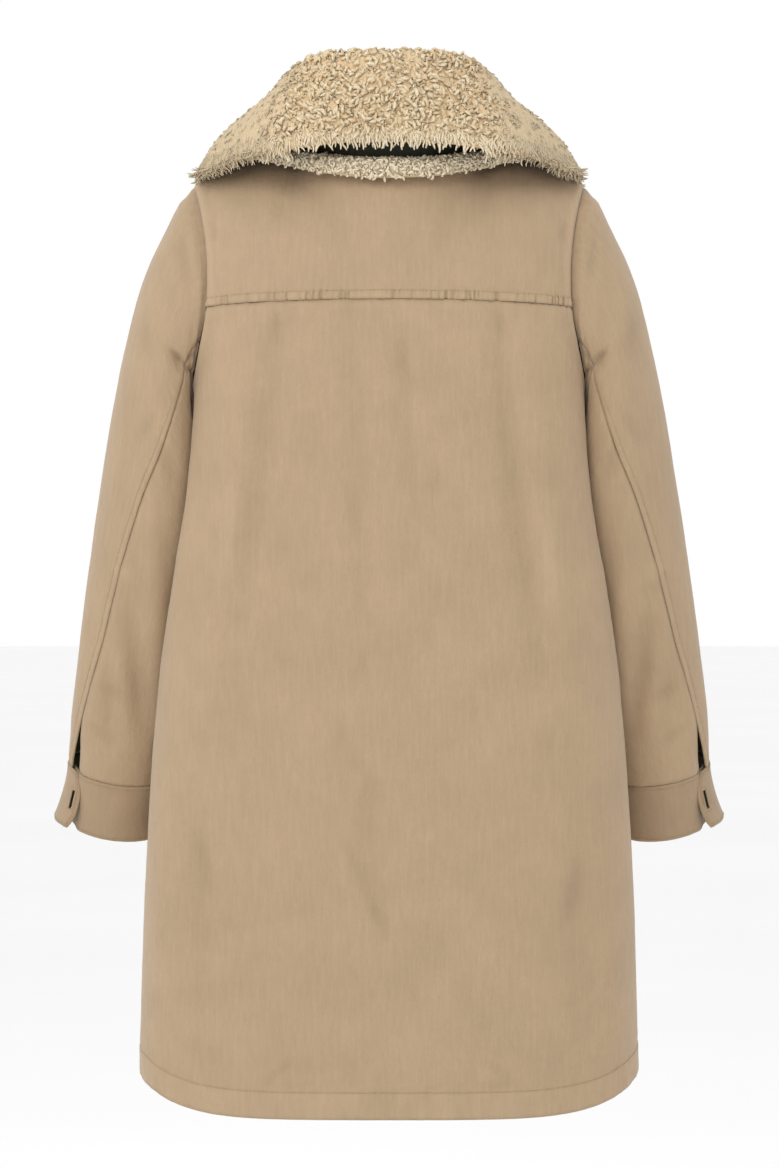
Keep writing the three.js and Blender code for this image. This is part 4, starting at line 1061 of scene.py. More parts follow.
def body_grid(is_back, folds, spacing, side=1, sink=None):
    """Grid points of a body panel from the hem to the chest line, their outward directions and cut."""
    heights = row_heights(spacing)
    angles, across = [], []
    for z in heights:
        if is_back:
            shares = np.linspace(0, 1, round(GRID_WIDTH["back"] / spacing) + 1)
        else:
            shares = front_share(z) * np.linspace(0, 1, round(GRID_WIDTH["front"] / spacing) + 1)
        angle, run = row_angles(z, is_back, shares)
        angles.append(angle)
        across.append(run)
    angle, across = np.array(angles), np.array(across)
    if side < 0:
        angle, across = -np.pi - angle, -across
    z = np.broadcast_to(heights[:, None], angle.shape)
    base = ring_point(angle, z)
    out = facing(ring_point, angle, z, dv=0.5)
    push = fold_push(folds, base) * ease(np.abs(base[..., 1]) / 60)
    if sink is not None:
        push = push - sink(base[..., 0])
    at = base + out * push[..., None]
    at[..., 2] = hem_height(z, base[..., 0], base[..., 1])
    near_seam = ease((z - YOKE_Z + 46) / 46)
    dip = YOKE_SIDE_DIP * np.minimum(1, np.abs(at[..., 0]) / 180) ** 2
    at[..., 2] -= near_seam * (dip + (SEAM_GAP if is_back else 0))
    return at, out, across, z


def cloth_piece(name, at, out, uv, relief, fine, thickness, finishes, folds=0.0):
    """A cloth shell on a grid; only troughs of the fine relief show on its inner face."""
    relief = relief + FOLD_MORE * folds
    outer = at + out * (relief + fine)[..., None]
    inner = at + out * (relief + np.minimum(0, fine) - thickness)[..., None]
    # The fold troughs add painted shade to the colour the cloth gets from its relief
    return shell(name, outer, inner, uv, finishes, fine + FOLD_SHADE * np.minimum(0, folds)), outer


class PARKA_OT_back(bpy.types.Operator):
    """Sews the back panel and its hem row."""

    bl_idname = "parka.back"
    bl_label = "Back"

    def execute(self, context):
        cloth = context.scene.parka_cloth
        at, out, across, z = body_grid(True, BACK_FOLDS, cloth.spacing / MM)
        broad, fine = drape(across, z, 11)
        side = np.minimum(np.abs(across - across[:, :1]), np.abs(across - across[:, -1:]))
        hem = z - HEM_Z
        seam = YOKE_Z - z
        band = cloth.hem / MM
        fine = fine + fold_push(BACK_CREASES, at)
        fine += 0.45 * ease((band + 1.5 - hem) / 2.5)
        fine += 0.35 * bump(hem, 2, 2.5) - 0.8 * bump(hem, band, 1.5)
        fine += puckers(across, hem - band, 21, 0.7, 9) + puckers(across, hem, 23, 0.6, 12)
        fine += puckers(across, seam, 25, 0.32, 7) - 0.5 * bump(seam, 0, 2.2) + 0.25 * bump(seam, 5, 3)
        above = z > ARMPIT_Z - 6
        armhole = 1.0 * bump(side, 5, 4.5) - 0.9 * bump(side, 0, 2)
        fine += np.where(above, armhole, 0) * ease((z - ARMPIT_Z) / 30)
        fine += np.where(z < ARMPIT_Z, 0.5 * bump(side, 5, 3.5) - 0.6 * bump(side, 0, 2), 0)
        relief = broad * ease(side / 22) * ease(seam / 30) * (0.6 + 0.4 * ease(hem / 60))
        folds = fold_push(BACK_FOLDS, at) * ease(at[..., 1] / 60)
        folds = folds * ease(side / 22) * ease(seam / 30)
        uv = np.stack([across, z], -1)
        made, outer = cloth_piece(
            "back_cloth", at, out, uv, relief, fine, cloth.thickness / MM, lined("cotton"), folds,
        )
        sewn(made, "cotton", "back")
        row = stitches("hem_stitches_back", [row_line(outer, out, hem, band)])
        sewn(row, "cotton")
        return {"FINISHED"}


class PARKA_OT_yoke(bpy.types.Operator):
    """Sews the back yoke, with its puckered seam and stitch row."""

    bl_idname = "parka.yoke"
    bl_label = "Back yoke"

    def execute(self, context):
        cloth, sewing = context.scene.parka_cloth, context.scene.parka_sewing
        spacing = min(FINE_SPACING, cloth.spacing / MM)
        u = np.linspace(-1, 1, round(GRID_WIDTH["yoke"] / spacing) + 1)
        low = np.linspace(0, 0.16, 13)
        t = np.concatenate([low, np.linspace(0.16, 1, round(150 / spacing))[1:]])
        uu, tt = np.meshgrid(u, t)
        at = upper_back(uu, tt)
        out = facing(upper_back, *inside(uu, tt))
        at = at + out * (fold_push(BACK_FOLDS, at) * (1 - tt))[..., None]
        shoulder = np.abs(u) >= NECK_SHARE
        out[-1, shoulder, 1] = 0
        out[-1] = unit(out[-1])
        at[-1, :, 1] += SEAM_GAP / 2
        run = row_run(at)
        across = run - run[:, len(u) // 2][:, None]
        up = column_run(at)
        broad, fine = drape(across, up, 41)
        side = np.minimum(run, run[:, -1:] - run)
        top = up[-1:] - up
        row = sewing.yoke_row / MM
        fine = fine + fold_push(YOKE_CREASES, at)
        fine += 0.9 * bump(up, 1.6, 1.5) - 0.22 * bump(up, row, 1.3) + 0.25 * bump(up, row - 4, 2.6)
        window = 0.85 * ease((row + 1 - up) / 3) + 0.6 * ease((row + 10 - up) / 10)
        # Narrow troughs of the gathers, which the cotton also darkens as painted shade
        wave = uneven(across, up, 51, 1.9, 14) + 0.4 * uneven(across, up, 52, 5.3, 9)
        fine += (0.35 * np.clip(-wave, 0, 1) - 2.2 * np.clip(wave - 0.16, 0, 0.7)) * window
        fine += (1.7 * bump(side, 5.5, 4.6) - 0.8 * bump(side, 0, 1.8)) * ease(top / 16)
        fine += 0.5 * bump(top, 4, 3) * ease((np.abs(across) - 100) / 40)
        relief = broad * 0.55 * ease(side / 22) * ease(top / 26) * ease(up / 22)
        uv = np.stack([at[..., 0], up + YOKE_Z], -1)
        made, outer = cloth_piece(
            "yoke_cloth", at, out, uv, relief, fine, cloth.thickness / MM, lined("cotton"),
        )
        sewn(made, "cotton", "back_yoke")
        line = stitches("yoke_stitches", [row_line(outer, out, up, row)])
        sewn(line, "cotton")
        return {"FINISHED"}


def front_sink(side, thickness):
    """How far the under front lies in below the top one."""
    drop = thickness + LAP_GAP if side > 0 else 0
    return lambda x: drop * ease((OVERLAP + OVERLAP_RAMP - x) / OVERLAP_RAMP)


def front_piece(name, node, side, seed, cloth):
    thickness = cloth.thickness / MM
    spacing = cloth.spacing / MM * 1.12
    sink = front_sink(side, thickness)
    at, out, _, z = body_grid(False, FRONT_FOLDS, spacing, side, sink)
    count = at.shape[1]
    edge_share = front_share(YOKE_Z)
    chest = 2 * edge_share - 1
    top = 2 / np.pi * NECK_SHARE * np.arcsin(OVERLAP / NECK_SIDE[0])
    t = np.linspace(0, 1, round(165 / spacing) + 1)[1:]
    past = chest + (top - chest) * t
    u = -1 + (1 + past[:, None]) * np.linspace(0, 1, count)[None]
    u = u * side
    tt = np.broadcast_to(t[:, None], u.shape)
    upper = upper_front(u, tt)
    normal = facing(upper_front, *inside(u, tt), way=-1)
    push = fold_push(FRONT_FOLDS, upper) * (1 - tt) - sink(upper[..., 0])
    upper = upper + normal * push[..., None]
    shoulder = np.abs(u[-1]) >= NECK_SHARE
    normal[-1, shoulder, 1] = 0
    normal[-1] = unit(normal[-1])
    upper[-1, :, 1] -= SEAM_GAP / 2
    at, out = np.concatenate([at, upper]), np.concatenate([out, normal])
    climb = column_run(at[len(z) - 1:])[1:]
    hem = np.concatenate([z - HEM_Z, YOKE_Z - HEM_Z + climb])
    run = row_run(at)
    edge = run[:, -1:] - run
    broad, fine = drape(side * (edge - OVERLAP), hem, seed)
    band = cloth.hem / MM
    fine = fine + 0.45 * ease((band + 1.5 - hem) / 2.5) - 0.5 * bump(hem, band, 1.3)
    fine += puckers(run, hem - band, seed + 9, 0.4, 9)
    fine -= 0.4 * bump(edge, CLOSING_ROW, 1.2) * ease((hem - band) / 9)
    fine += 0.3 * bump(edge, 3, 2.4) + puckers(hem, edge - CLOSING_ROW, seed + 15, 0.22, 6)
    fine += 0.5 * bump(run, 5, 3.5) - 0.6 * bump(run, 0, 2)
    top_gap = hem[-1:] - hem
    fade = ease(run / 22) * ease(top_gap / 24) * ease((edge - 6) / 40)
    uv = np.stack([side * (edge - OVERLAP), hem + HEM_Z], -1)
    folds = fold_push(FRONT_FOLDS, at) * ease(-at[..., 1] / 60) * fade
    made, outer = cloth_piece(name, at, out, uv, broad * fade, fine, thickness, lined("cotton"), folds)
    sewn(made, "cotton", node)
    rows = [row_line(outer, out, hem, band)]
    if side < 0:
        keep = hem[:, -1] > band + 4
        rows.append(row_line(swapped(outer)[:, keep], swapped(out)[:, keep], edge.T[:, keep], CLOSING_ROW))
    return made, rows


class PARKA_OT_fronts(bpy.types.Operator):
    """Sews the two closed fronts, the wearer's right over the left."""

    bl_idname = "parka.fronts"
    bl_label = "Fronts"

    def execute(self, context):
        cloth = context.scene.parka_cloth
        for name, side, seed in (("left", 1, 61), ("right", -1, 71)):
            made, rows = front_piece(f"front_{name}_cloth", f"front_{name}", side, seed, cloth)
            row = sewn(stitches(f"front_stitches_{name}", rows), "cotton")
        return {"FINISHED"}


# Sleeves, made on the wearer's left and mirrored for the right


def armhole_loop():
    """The armhole's edge, from the shoulder tip down the back, under the arm and up the front."""
    steps = 96
    share = np.arange(1, steps + 1) / steps
    down = upper_back(np.full(steps + 1, -1.0), 1 - np.arange(steps + 1) / steps)
    z_back = YOKE_Z + (ARMPIT_Z - YOKE_Z) * (1 - np.cos(share * np.pi / 2))
    z_front = ARMPIT_Z + (YOKE_Z - ARMPIT_Z) * np.sin(share * np.pi / 2)
    under_back = ring_point(angle_at_y(armhole_y(z_back), z_back), z_back)
    under_front = ring_point(angle_at_y(-armhole_y(z_front), z_front), z_front)
    for under in (under_back, under_front):
        under[:, 2] -= YOKE_SIDE_DIP * ease((under[:, 2] - YOKE_Z + 46) / 46)
    up = upper_front(np.full(steps - 1, -1.0), np.arange(1, steps) / steps)
    return np.concatenate([down, under_back, under_front, up, down[:1]])


LOOP = armhole_loop()
LOOP_RUN = line_run(LOOP)


def loop_point(share):
    want = (share - np.floor(share)) * LOOP_RUN[-1]
    return np.stack([np.interp(want, LOOP_RUN, LOOP[:, i]) for i in range(3)], -1)


def section_frame(s):
    """The middle, the outward direction and the half width of sleeve sections."""
    out = stack(out_x(s), mid_y(s), out_z(s))
    inn = stack(in_x(s), mid_y(s), in_z(s))
    middle = (out + inn) / 2
    return middle, np.linalg.norm(out - inn, axis=-1) / 2, unit(out - middle)


FIRST_MIDDLE, FIRST_HALF, FIRST_OUT = section_frame(np.array(0.0))
FIRST_AXIS = -unit(np.cross(FIRST_OUT, (0, 1, 0)))


def sleeve_surface(turn, s):
    turn, s = np.broadcast_arrays(np.asarray(turn, float), np.asarray(s, float))
    middle, half, outward = section_frame(s)
    angle = 2 * np.pi * turn
    deep = deep_at(s)
    own = 1 - ease(s / 0.3)
    q = loop_point(turn) - FIRST_MIDDLE
    across = np.cos(angle) * half * (1 - own) + own * (q @ FIRST_OUT) * half / FIRST_HALF
    depth = np.sin(angle) * deep * (1 - own) + own * q[..., 1] * deep / SLEEVE[0, 5]
    along = (q @ FIRST_AXIS) * own
    axis = -unit(np.cross(outward, (0, 1, 0)))
    p = middle + outward * across[..., None] + axis * along[..., None]
    p[..., 1] += depth
    p[..., 2] -= drop_at(s) * np.sin(angle)
    return p


def slit_open(s):
    return ease(1 - ((1 - s) * SLEEVE_LENGTH) / SLIT["length"])


def seam_shares(s, extra):
    """A distance at the sleeve's seams as a share of a turn."""
    half = section_frame(s)[1]
    return extra / (np.pi * (half + deep_at(s)))


def sleeve_grid(start, end, start_gap, end_gap, around, sink, spacing):
    n = round(around / spacing) + 1
    below = np.linspace(0.04, 1, round(SLEEVE_LENGTH / spacing))
    s = np.concatenate([np.linspace(0, 0.04, 9), below[1:]])
    ss = np.broadcast_to(s[:, None], (len(s), n))
    j = np.linspace(0, 1, n)[None]
    a, b = start(s) + start_gap(s), end(s) - end_gap(s)
    turn = a[:, None] + (b - a)[:, None] * j
    at = sleeve_surface(turn, ss)
    seam = turn.copy()
    seam[:, 0], seam[:, -1] = start(s), end(s)
    out = facing(sleeve_surface, seam, np.clip(ss, 0.001, 0.999), way=-1)
    push = fold_push(SLEEVE_FOLDS, at) * ease(ss * 8) * ease((1 - ss) * 7)
    at = at + out * (push * np.abs(out[..., 1]))[..., None]
    tuck = sink * slit_open(ss) * ease(1 - (turn - start(s)[:, None]) / 0.06)
    at = at - out * tuck[..., None]
    tucked = 0.2 + 0.8 * ease(np.abs(out[..., 1]) * 1.5)
    at[..., 0] -= ARMHOLE_TUCK * tucked * (1 - ease(ss * SLEEVE_LENGTH / 12))
    return at, out, turn, ss


def sleeve_relief(at, out, turn, ss, seed):
    """The relief of a sleeve part, broad and fine."""
    down = ss * SLEEVE_LENGTH
    run = row_run(at)
    broad, fine = drape(turn * SLEEVE_CUT, -down, seed)
    at_back = np.clip(out[..., 1], 0, 1)
    fine = fine + fold_push(SLEEVE_CREASES, at) * ease(at_back * 3)
    valley = 0.55 + 0.45 * ease(at_back * 2)
    fine = fine - 0.8 * valley * bump(down, 3, 11) + 0.35 * bump(down, 40, 14)
    fine += puckers(turn * 480, down, seed + 7, 0.4, 14)
    end = SLEEVE_LENGTH - down
    fine += puckers(turn * 300, end, seed + 8, 0.5, 12) - 0.4 * bump(end, 0, 2.5)
    edge = np.minimum(run, run[:, -1:] - run)
    calm = ease(down / 40) * ease(end / 40) * ease(edge / 18)
    sink = ARMHOLE_SINK * (1 - ease(down / 32)) * (0.1 + 0.9 * ease(np.abs(out[..., 1]) * 1.5))
    folds = fold_push(SLEEVE_FOLDS, at) * np.abs(out[..., 1]) * calm
    slope = SHOULDER_SLOPE * bump(down, 52, 60) * ease(down / 35)
    slope = slope * (1 - ease(np.abs(out[..., 1]) * 1.2))
    return broad * calm - sink - slope * ease(out[..., 2] * 3), fine, run, folds


def mirrored(points, side):
    return points * np.array([side, 1, 1])


class PARKA_OT_sleeves(bpy.types.Operator):
    """Sews the two-part sleeves, with their stitched back seams and open slits."""

    bl_idname = "parka.sleeves"
    bl_label = "Sleeves"

    def execute(self, context):
        cloth, sewing = context.scene.parka_cloth, context.scene.parka_sewing
        spacing = 0.86 * cloth.spacing / MM
        back_gap = lambda s: seam_shares(s, SEAM_GAP / 2 + SLIT["half_width"] * slit_open(s))
        front_gap = lambda s: seam_shares(s, SEAM_GAP / 2)
        back_end = lambda s: 1 + back_seam(s)
        parts = {
            "upper": (front_seam, back_end, front_gap, back_gap, 0, (0.26, 0.63), 0.112),
            "under": (back_seam, front_seam, back_gap, front_gap, SLIT["sink"], (0.19, 0.60), 0.075),
        }
        for part, (start, end, start_gap, end_gap, sink, flat, area) in parts.items():
            at, out, turn, ss = sleeve_grid(start, end, start_gap, end_gap, GRID_WIDTH[part], sink, spacing)
            for word, side in SIDES.items():
                relief, fine, run, folds = sleeve_relief(at, out, turn, ss, 81 + 10 * side)
                rest = run[:, -1:] - run
                if part == "upper":
                    row = sewing.sleeve_row / MM
                    fine = fine + 0.55 * ease((row + 0.5 - rest) / 2) - 0.45 * bump(rest, row, 1.2)
                    fine += puckers(ss * SLEEVE_LENGTH, rest - row, 95, 0.3, 6)
                else:
                    fine = fine - 0.5 * bump(run, 0, 2.5)
                turned = mirrored(at, side), mirrored(out, side)
                uv = np.stack([side * turn * SLEEVE_CUT, -ss * SLEEVE_LENGTH], -1)
                made, outer = cloth_piece(
                    f"sleeve_{part}_{word}_cloth", *turned, uv, relief, fine, cloth.thickness / MM,
                    lined("cotton"), folds,
                )
                sewn(made, "cotton", f"sleeve_{part}_{word}")
                going = []
                if part == "upper":
                    keep = slice(4, -1)
                    tall, ways = swapped(outer)[:, keep], swapped(turned[1])[:, keep]
                    line = row_line(tall, ways, rest.T[:, keep], row)
                    going = [sewn(stitches(f"sleeve_stitches_{word}", [line]), "cotton")]
        return {"FINISHED"}


# Cuffs


CUFF_AXIS = unit(np.cross(section_frame(np.array(1.0))[2], (0, SLEEVE[-1, 5], -SLEEVE[-1, 6])))
CUFF_AXIS = CUFF_AXIS if CUFF_AXIS[2] < 0 else -CUFF_AXIS


def cuff_surface(turn, v):
    turn, v = np.broadcast_arrays(np.asarray(turn, float), np.asarray(v, float))
    top = sleeve_surface(turn, np.ones(turn.shape))
    middle = section_frame(np.array(1.0))[0]
    radial = unit(top - middle)
    opened = ease((turn - CUFF_FLARE["from"]) / (CUFF_FLARE["to"] - CUFF_FLARE["from"]))
    flare = CUFF_FLARE["out"] * opened * np.maximum(0, v) ** CUFF_FLARE["swell"]
    sink = CUFF["sink"] * ease((0.13 - turn) / 0.06)
    lift = CUFF_LIFT["share"] * ease((turn - CUFF_LIFT["from"]) / (CUFF_LIFT["to"] - CUFF_LIFT["from"]))
    down = SEAM_GAP + 0.2 + CUFF["height"] * v * (1 - lift)
    return top + CUFF_AXIS * down[..., None] + radial * (0.6 - CUFF["inset"] * v + flare - sink)[..., None]


def cuff_point(turn, v):
    at = cuff_surface(turn, v)
    return at, facing(cuff_surface, np.asarray(turn, float), np.asarray(v, float), dv=1e-2, way=-1)


def buttonhole_frame():
    """The buttonhole's middle, its directions along, up and across the cuff."""
    near, _ = cuff_point(CUFF["end"], 0.5)
    back, _ = cuff_point(CUFF["end"] - 0.01, 0.5)
    along = unit(near - back)
    up = unit(cuff_point(CUFF["end"], 0.2)[0] - cuff_point(CUFF["end"], 0.8)[0])
    return near - along * BUTTONHOLE["from_end"], along, up, unit(np.cross(along, up))


def button_mesh(name, size, at, out, hole, material):
    """A turned button with a rim, a dished face and four holes, as a closed solid."""
    r, h = size["radius"], size["thickness"]
    profile = [
        (0, 0), (0.84 * r, 0), (0.95 * r, 0.12 * h), (r, 0.38 * h), (r, 0.68 * h), (0.965 * r, 0.88 * h),
        (0.9 * r, h), (0.78 * r, h), (0.7 * r, 0.92 * h), (0.62 * r, 0.76 * h), (0.5 * r, 0.7 * h),
        (0, 0.7 * h),
    ]
    sides = 40
    turn = np.linspace(0, 2 * np.pi, sides, endpoint=False)
    rings = [np.stack([p * np.cos(turn), p * np.sin(turn), np.full(sides, q)], 1) for p, q in profile[1:-1]]
    points = np.concatenate([*rings, [(0, 0, 0)], [(0, 0, profile[-1][1])]])
    faces = capped_faces(len(rings), sides)
    across = unit(np.cross(out, (0.0, 0.0, 1.0)))
    up = np.cross(across, out)
    basis = np.stack([across, up, out])
    place = lambda p: p @ basis + at + out * size["stand"]
    made = mesh_of(name, place(points), faces, [material])
    for i in range(4):
        a = np.pi / 4 + i * np.pi / 2
        middle = np.array([np.cos(a), np.sin(a), 0]) * r * 0.24
        ring = np.stack([hole * np.cos(turn[::4]), hole * np.sin(turn[::4]), 0 * turn[::4]], 1)
        tool_points = np.concatenate([ring + middle + (0, 0, -h), ring + middle + (0, 0, 2 * h)])
        n = len(ring)
        tool_faces = [(j, (j + 1) % n, n + (j + 1) % n, n + j) for j in range(n)]
        tool_faces += [tuple(range(n))[::-1], tuple(range(n, 2 * n))]
        tool = mesh_of("drill", place(tool_points), tool_faces, [material], smooth=False)
        cut(made, tool)
    return made


def cut(made, tool):
    modifier = made.modifiers.new("cut", "BOOLEAN")
    modifier.operation, modifier.solver, modifier.object = "DIFFERENCE", "EXACT", tool
    settle(made)
    drop_shapes([tool])


def button_thread(at, out, radius, stand):
    """Two crossing bars of thread over a button's four holes."""
    across = unit(np.cross(out, (0.0, 0.0, 1.0)))
    up = np.cross(across, out)
    reach = radius * 0.24
    places, ups, lies = [], [], []
    for a in (np.pi / 4, 3 * np.pi / 4):
        lie = across * np.cos(a) + up * np.sin(a)
        for shift in (-0.35, 0.35):
            places.append(at + out * stand + np.cross(out, lie) * shift)
            ups.append(out)
            lies.append(lie)
    return places, ups, lies, reach


class PARKA_OT_cuffs(bpy.types.Operator):
    """Sews the open cuffs, with their buttonholes and stitch rows."""

    bl_idname = "parka.cuffs"
    bl_label = "Cuffs"

    def execute(self, context):
        cloth = context.scene.parka_cloth
        v = np.linspace(0, 1, round(CUFF["height"] / FINE_SPACING) + 1)
        end = CUFF["end"] - CUFF["round"] * (np.abs(v - 0.55) / 0.55) ** 2.5
        j = np.linspace(0, 1, round(GRID_WIDTH["cuff"] / FINE_SPACING) + 1)
        turn = CUFF["start"] + (end[:, None] - CUFF["start"]) * j[None]
        vv = np.broadcast_to(v[:, None], turn.shape)
        at, out = cuff_point(turn, vv)
        run = row_run(at)
        down = column_run(at)
        rest = run[:, -1:] - run
        below = down[-1:] - down
        rim = np.minimum(np.minimum(down, below), np.minimum(run, rest))
        edge = 0.3 * bump(rim, 4.5, 3) - 0.45 * bump(rim, CUFF_ROW, 0.9) - 0.3 * bump(rim, 0, 1.2)
        for word, side in SIDES.items():
            broad, fine = drape(turn * CUFF_CUT, -down, 101 + side)
            fine = 0.7 * fine + edge
            fine += puckers(run, below - CUFF_ROW, 111 + side, 0.25, 6)
            fine += puckers(run, down - CUFF_ROW, 113 + side, 0.25, 6)
            relief = 0.35 * broad * ease(rim / 14)
            turned = mirrored(at, side), mirrored(out, side)
            uv = np.stack([side * turn * CUFF_CUT, -down], -1)
            made, outer = cloth_piece(
                f"cuff_{word}_cloth", *turned, uv, relief, fine, cloth.cuff_thickness / MM,
                lined("shaded_cuff_cotton"),
            )
            middle, along, up, across = [mirrored(p, side) for p in buttonhole_frame()]
            box = np.array([(x, y, z) for z in (-1, 1) for y in (-1, 1) for x in (-1, 1)], float)
            box *= (BUTTONHOLE["width"] / 2, BUTTONHOLE["length"] / 2, 9)
            tool = mesh_of(
                "slot", middle + box @ np.stack([along, up, across]),
                [(0, 2, 3, 1), (4, 5, 7, 6), (0, 1, 5, 4), (2, 6, 7, 3), (0, 4, 6, 2), (1, 3, 7, 5)],
                [finish("lining")], smooth=False,
            )
            recalc(tool)
            cut(made, tool)
            sewn(made, "cotton", f"cuff_{word}")
            face = facing_of(outer, turned[1], middle)
            rows = [
                row_line(outer, turned[1], down, CUFF_ROW), row_line(outer, turned[1], -below, -CUFF_ROW),
                row_line(swapped(outer), swapped(turned[1]), -rest.T, -CUFF_ROW),
            ]
            row = sewn(stitches(f"cuff_stitches_{word}", rows), "cotton")
            hole = sewn(self.hole_stitches(word, middle, along, up, face), "cotton")
        return {"FINISHED"}

    def hole_stitches(self, word, middle, along, up, face):
        """Close overcast stitches round the buttonhole."""
        half, wide, pitch = BUTTONHOLE["length"] / 2, BUTTONHOLE["stitch_out"], BUTTONHOLE["stitch_pitch"]
        places, lies = [], []
        for side in (-1, 1):
            for y in np.arange(-half - 0.4, half + 0.5, pitch):
                places.append(middle + along * side * wide + up * y + face["lift"])
                lies.append(along)
        for y in (-half - 1.2, half + 1.2):
            for x in np.arange(-2.0, 2.1, pitch):
                places.append(middle + along * x + up * y + face["lift"])
                lies.append(up)
        shape = stitch_shape()
        made = scatter(
            f"buttonhole_stitches_{word}", np.array(places), np.tile(face["out"], (len(places), 1)),
            np.array(lies), [shape], BUTTONHOLE_STITCH, finish("thread"),
        )
        drop_shapes([shape])
        return made


def recalc(made):
    """Turns a closed tool's faces outwards."""
    work = bmesh.new()
    work.from_mesh(made.data)
    bmesh.ops.recalc_face_normals(work, faces=work.faces)
    work.to_mesh(made.data)
    work.free()


def facing_of(outer, out, middle):
    """The outward direction of the nearest cloth, and the lift from a point to its face."""
    flat = outer.reshape(-1, 3)
    near = int(np.argmin(np.linalg.norm(flat - middle, axis=1)))
    way = out.reshape(-1, 3)[near]
    return {"out": way, "lift": way * float((flat[near] - middle) @ way + 0.2)}


class PARKA_OT_buttons(bpy.types.Operator):
    """Sews on the front buttons and the cuff buttons."""

    bl_idname = "parka.buttons"
    bl_label = "Buttons"

    def execute(self, context):
        buttons = context.scene.parka_buttons
        hole = buttons.hole / MM
        spots = []
        for i in range(BUTTON["count"]):
            z = BUTTON["first"] - BUTTON["pitch"] * i
            angle = np.array([-np.pi / 2])
            base = ring_point(angle, np.array([z]))
            out = facing(ring_point, angle, np.array([z]), dv=0.5)[0]
            push = float(fold_push(FRONT_FOLDS, base[0]) * ease(abs(base[0, 1]) / 60))
            at = base[0] + out * push
            at[2] = float(hem_height(z, base[0, 0], base[0, 1]))
            spots.append((f"front_button_{i + 1}", BUTTON, at, out, hole))
        at, out = cuff_point(CUFF["start"] + CUFF_BUTTON["from_end"], 0.5)
        small = hole * CUFF_BUTTON["hole_share"]
        for word, side in SIDES.items():
            turned = mirrored(at, side), mirrored(out, side)
            spots.append((f"cuff_button_{word}", CUFF_BUTTON, *turned, small))
        for node, size, at, out, wide in spots:
            made = button_mesh(f"{node}_horn", size, at, out, wide, finish("horn"))
            sewn(made, "button", node)
            stand = size["stand"] + 0.7 * size["thickness"] + 0.25
            places, ups, lies, reach = button_thread(at, out, size["radius"], stand)
            shape = stitch_shape()
            tie = scatter(
                f"{node}_thread", np.array(places), np.array(ups), np.array(lies), [shape],
                (2.3 * reach * MM, 0.0008, 0.0007), finish("thread"),
            )
            drop_shapes([shape])
            sewn(tie, "cotton")
        return {"FINISHED"}


# Collar


def neckline(turn):
    """Radius and height of the neckline at turns from the back middle, in degrees."""
    a = np.radians(turn)
    front = turn > 90
    depth = np.abs(np.where(front, NECK_FRONT[0], NECK_BACK[0]) - NECK_AXIS_Y)
    r = 1 / np.hypot(np.sin(a) / NECK_SIDE[0], np.cos(a) / depth)
    share = np.abs(np.cos(a)) ** np.where(front, 1.25, 1)
    return r, NECK_SIDE[2] + (np.where(front, NECK_FRONT[1], NECK_BACK[1]) - NECK_SIDE[2]) * share


def spot(signed, r, z):
    """Points round the neck; a negative turn is on the wearer's left."""
    a = np.radians(signed)
    return stack(-r * np.sin(a), NECK_AXIS_Y + r * np.cos(a), z)


def collar_outline(turn, pile):
    """The outline of the collar at turns: up inside the stand, over the fold, down the fall, back."""
    neck_r, neck_z = neckline(turn)
    top_r, top_z, end_r, end_z = fold_r(turn), fold_z(turn), edge_r(turn), edge_z(turn)
    half, bulge = fall_half(turn), fall_bulge(turn)
    run = np.hypot(end_r - top_r, end_z - top_z)
    way_r, way_z = (end_r - top_r) / run, (end_z - top_z) / run
    inner = neck_r - STAND["cloth"] - SEAM_GAP
    wall, roll = 9, 13
    outline = [
        (inner, neck_z + 3), (inner - wall * 0.8, neck_z + 1), (inner - wall, neck_z + 12),
        ((inner - wall) * 0.45 + (top_r - roll) * 0.55, neck_z * 0.45 + top_z * 0.55),
        (top_r - roll - 6, top_z - 6), (top_r - 11, top_z + 7), (top_r, top_z + 12),
        (top_r + 12 - way_z * 2, top_z + 9),
    ]
    for t, share in ((0.26, 0.75), (0.5, 1), (0.76, 0.8), (0.96, 0.1)):
        out = half + bulge * share
        outline.append((top_r + way_r * run * t - way_z * out, top_z + way_z * run * t + way_r * out))
    tip_r, tip_z = end_r + way_r * half * 0.8, end_z + way_z * half * 0.8
    outline.append((tip_r - way_z * half * 0.5, tip_z + way_r * half * 0.5))
    outline.append((tip_r + way_z * half * 0.5, tip_z - way_r * half * 0.5))
    for t, share in ((0.92, 0.6), (0.62, 0.45), (0.34, 0.4)):
        at_r, at_z = top_r + way_r * run * t, top_z + way_z * run * t
        outline.append((at_r + way_z * half * share, at_z - way_r * half * share))
    outline.append((top_r - 1, top_z - 12))
    outline.append((inner + STAND["lean"] - 1, top_z - STAND["below_fold"] + 6))
    outline.append((inner + 0.6, (neck_z + top_z) / 2))
    corners = np.array([np.broadcast_arrays(r, z, turn)[:2] for r, z in outline]).transpose(2, 0, 1)
    after = np.roll(corners, -1, axis=1)
    ahead = unit(after - np.roll(corners, 1, axis=1))
    out = np.stack([ahead[..., 1], -ahead[..., 0]], -1)
    area = corners[..., 0] * after[..., 1] - after[..., 0] * corners[..., 1]
    out *= np.sign(area.sum(1))[:, None, None]
    # How much of the pile's depth each corner's ground lies below the outline
    woolly = np.array([0, 0.3, 0.4, 0.15, 0.7] + [1] * 7 + [0.9, 0.3] + [0] * 6)
    return corners - out * (woolly * pile)[None, :, None]


FUR_START, FUR_END = 1, 12
SIDE_TURN = 44


